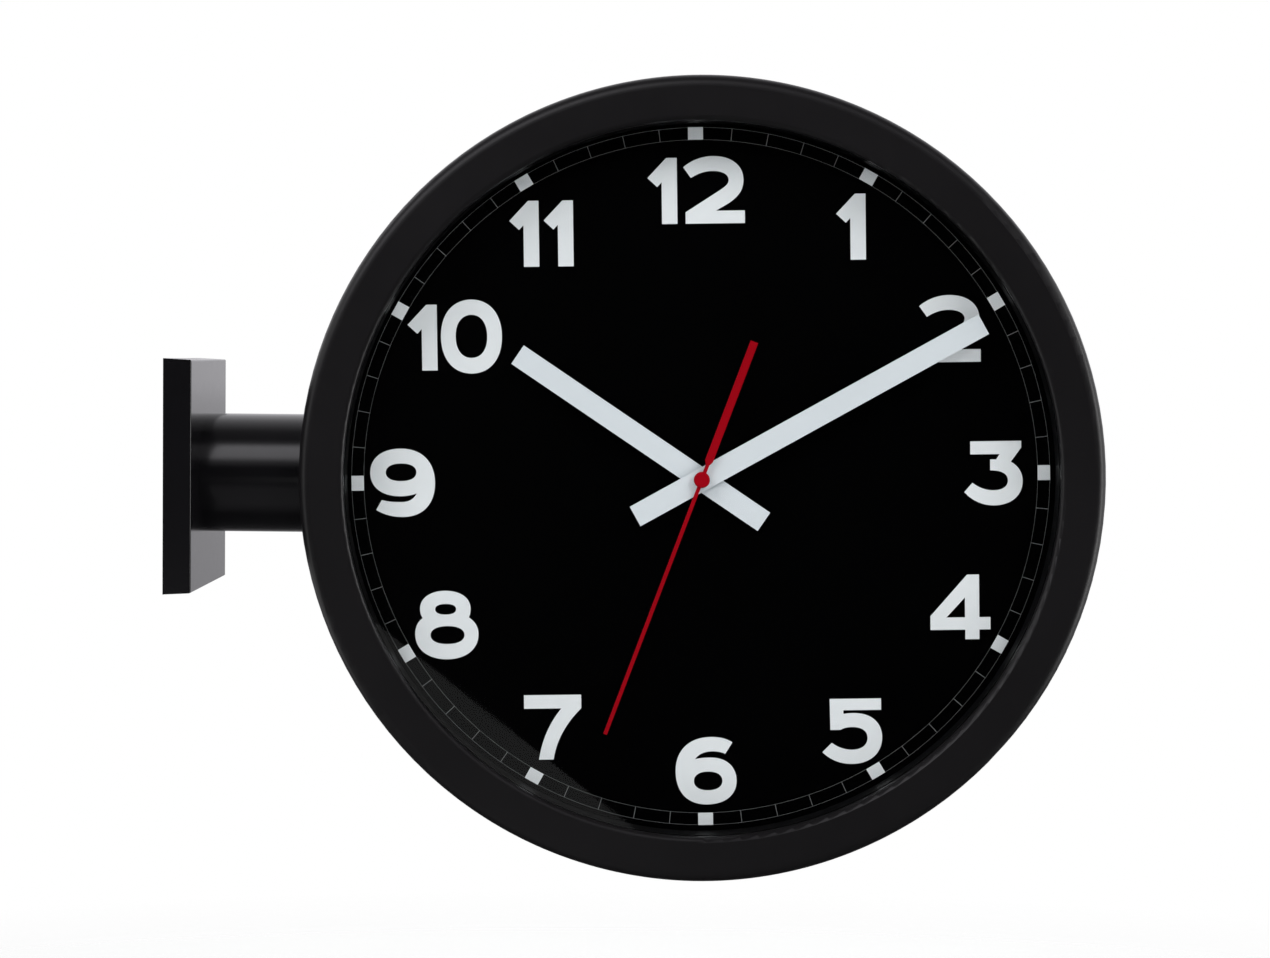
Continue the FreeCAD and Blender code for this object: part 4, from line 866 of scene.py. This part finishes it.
def surround_material():
    """The brightness of each direction round the arm."""
    paint, glow = glow_paint("surround")
    toward_camera = paint.math("MULTIPLY", paint.axis("Y"), -1.0)
    angle = paint.math("ARCTAN2", paint.axis("Z"), toward_camera)
    ramp = paint.nodes.new("ShaderNodeValToRGB")
    paint.join(paint.ranged(angle, 0.0, 1.0, -math.pi, math.pi), ramp.inputs[0])
    stops = ramp.color_ramp.elements
    stops[0].position = 0.0
    stops[1].position = 1.0
    for degrees, _ in SURROUND[1:-1]:
        stops.new((degrees + 180.0) / 360.0)
    for stop, (_, brightness) in zip(stops, SURROUND):
        stop.color = (*shade(SURROUND_TINT, brightness / SURROUND_PEAK), 1.0)
    paint.join(ramp.outputs["Color"], glow.inputs["Color"])
    along = (SURROUND_ARM_END, SURROUND_CASE_START)
    dimming = paint.ranged(paint.axis("X"), 1.0, SURROUND_CASE_SHARE, *along)
    behind = paint.math("GREATER_THAN", paint.axis("Y"), 0.0)
    share = paint.math("MAXIMUM", dimming, behind)
    paint.join(paint.math("MULTIPLY", share, SURROUND_PEAK), glow.inputs["Strength"])
    return paint.material


def make_surround():
    """An open-ended tunnel round the arm's line that only the clock's gloss sees."""
    bm = bmesh.new()
    rows = []
    for step in range(SURROUND_STEPS):
        angle = 2 * math.pi * step / SURROUND_STEPS
        y = SURROUND_RADIUS * math.cos(angle)
        z = SURROUND_RADIUS * math.sin(angle)
        rows.append([bm.verts.new((x, y, z)) for x in (SURROUND_LEFT, SURROUND_RIGHT)])
    for first, second in zip(rows, rows[1:] + rows[:1]):
        bm.faces.new((first[0], first[1], second[1], second[0]))
    mesh = bpy.data.meshes.new("surround")
    bm.to_mesh(mesh)
    bm.free()
    mesh.materials.append(surround_material())
    tunnel = bpy.data.objects.new("surround", mesh)
    bpy.context.scene.collection.objects.link(tunnel)
    for_gloss_only(tunnel)


def area_light(name, place, width, height, power, colour):
    """A soft box turned to the clock that lights it and isn't seen in its gloss."""
    data = bpy.data.lights.new(name, "AREA")
    data.shape = "RECTANGLE"
    data.size = width
    data.size_y = height
    data.energy = power
    data.color = colour
    light = bpy.data.objects.new(name, data)
    bpy.context.scene.collection.objects.link(light)
    light.location = place
    toward = Vector(LIGHT_TARGET) - Vector(place)
    light.rotation_mode = "QUATERNION"
    light.rotation_quaternion = toward.to_track_quat("-Z", "Y")
    light.visible_glossy = False


# Corners of the grey card that the lower left of the front glass mirrors.
LOW_CARD_CORNERS = (
    (-0.2, -2.3, -0.22),
    (0.245, -2.3, -0.568),
    (0.245, -2.3, -0.95),
    (-0.2, -2.3, -0.95),
)
LOW_CARD_BRIGHTNESS = 0.4
# Corners of the bright card on the right that the left of the bezel's lip mirrors.
SIDE_CARD_CORNERS = (
    (2.6, -0.75, 1.0),
    (2.6, -0.1, 1.0),
    (2.6, -0.1, -1.0),
    (2.6, -0.75, -1.0),
)
SIDE_CARD_BRIGHTNESS = 5.0
LIGHT_TARGET = (0.25, 0.0, 0.0)
WARM_WHITE = (1.0, 0.99, 0.98)
# Each soft box's name, place, width, height, power in watts and colour.
SOFT_BOXES = (
    ("left_key", (-1.6, -1.5, 1.9), 1.4, 0.8, 44.0, WARM_WHITE),
    ("right_key", (2.1, -1.5, 1.9), 1.4, 0.8, 52.0, WARM_WHITE),
    ("rear_light", (0.4, 1.9, 1.5), 1.8, 1.2, 26.0, WHITE),
)


def make_studio():
    """The surroundings that the gloss mirrors, and soft boxes above and beside the clock."""
    make_surround()
    make_card("low_card", LOW_CARD_CORNERS, LOW_CARD_BRIGHTNESS)
    make_card("side_card", SIDE_CARD_CORNERS, SIDE_CARD_BRIGHTNESS)
    for soft_box in SOFT_BOXES:
        area_light(*soft_box)


make_world()
make_floor()
make_studio()
bpy.context.scene.view_settings.view_transform = "Standard"
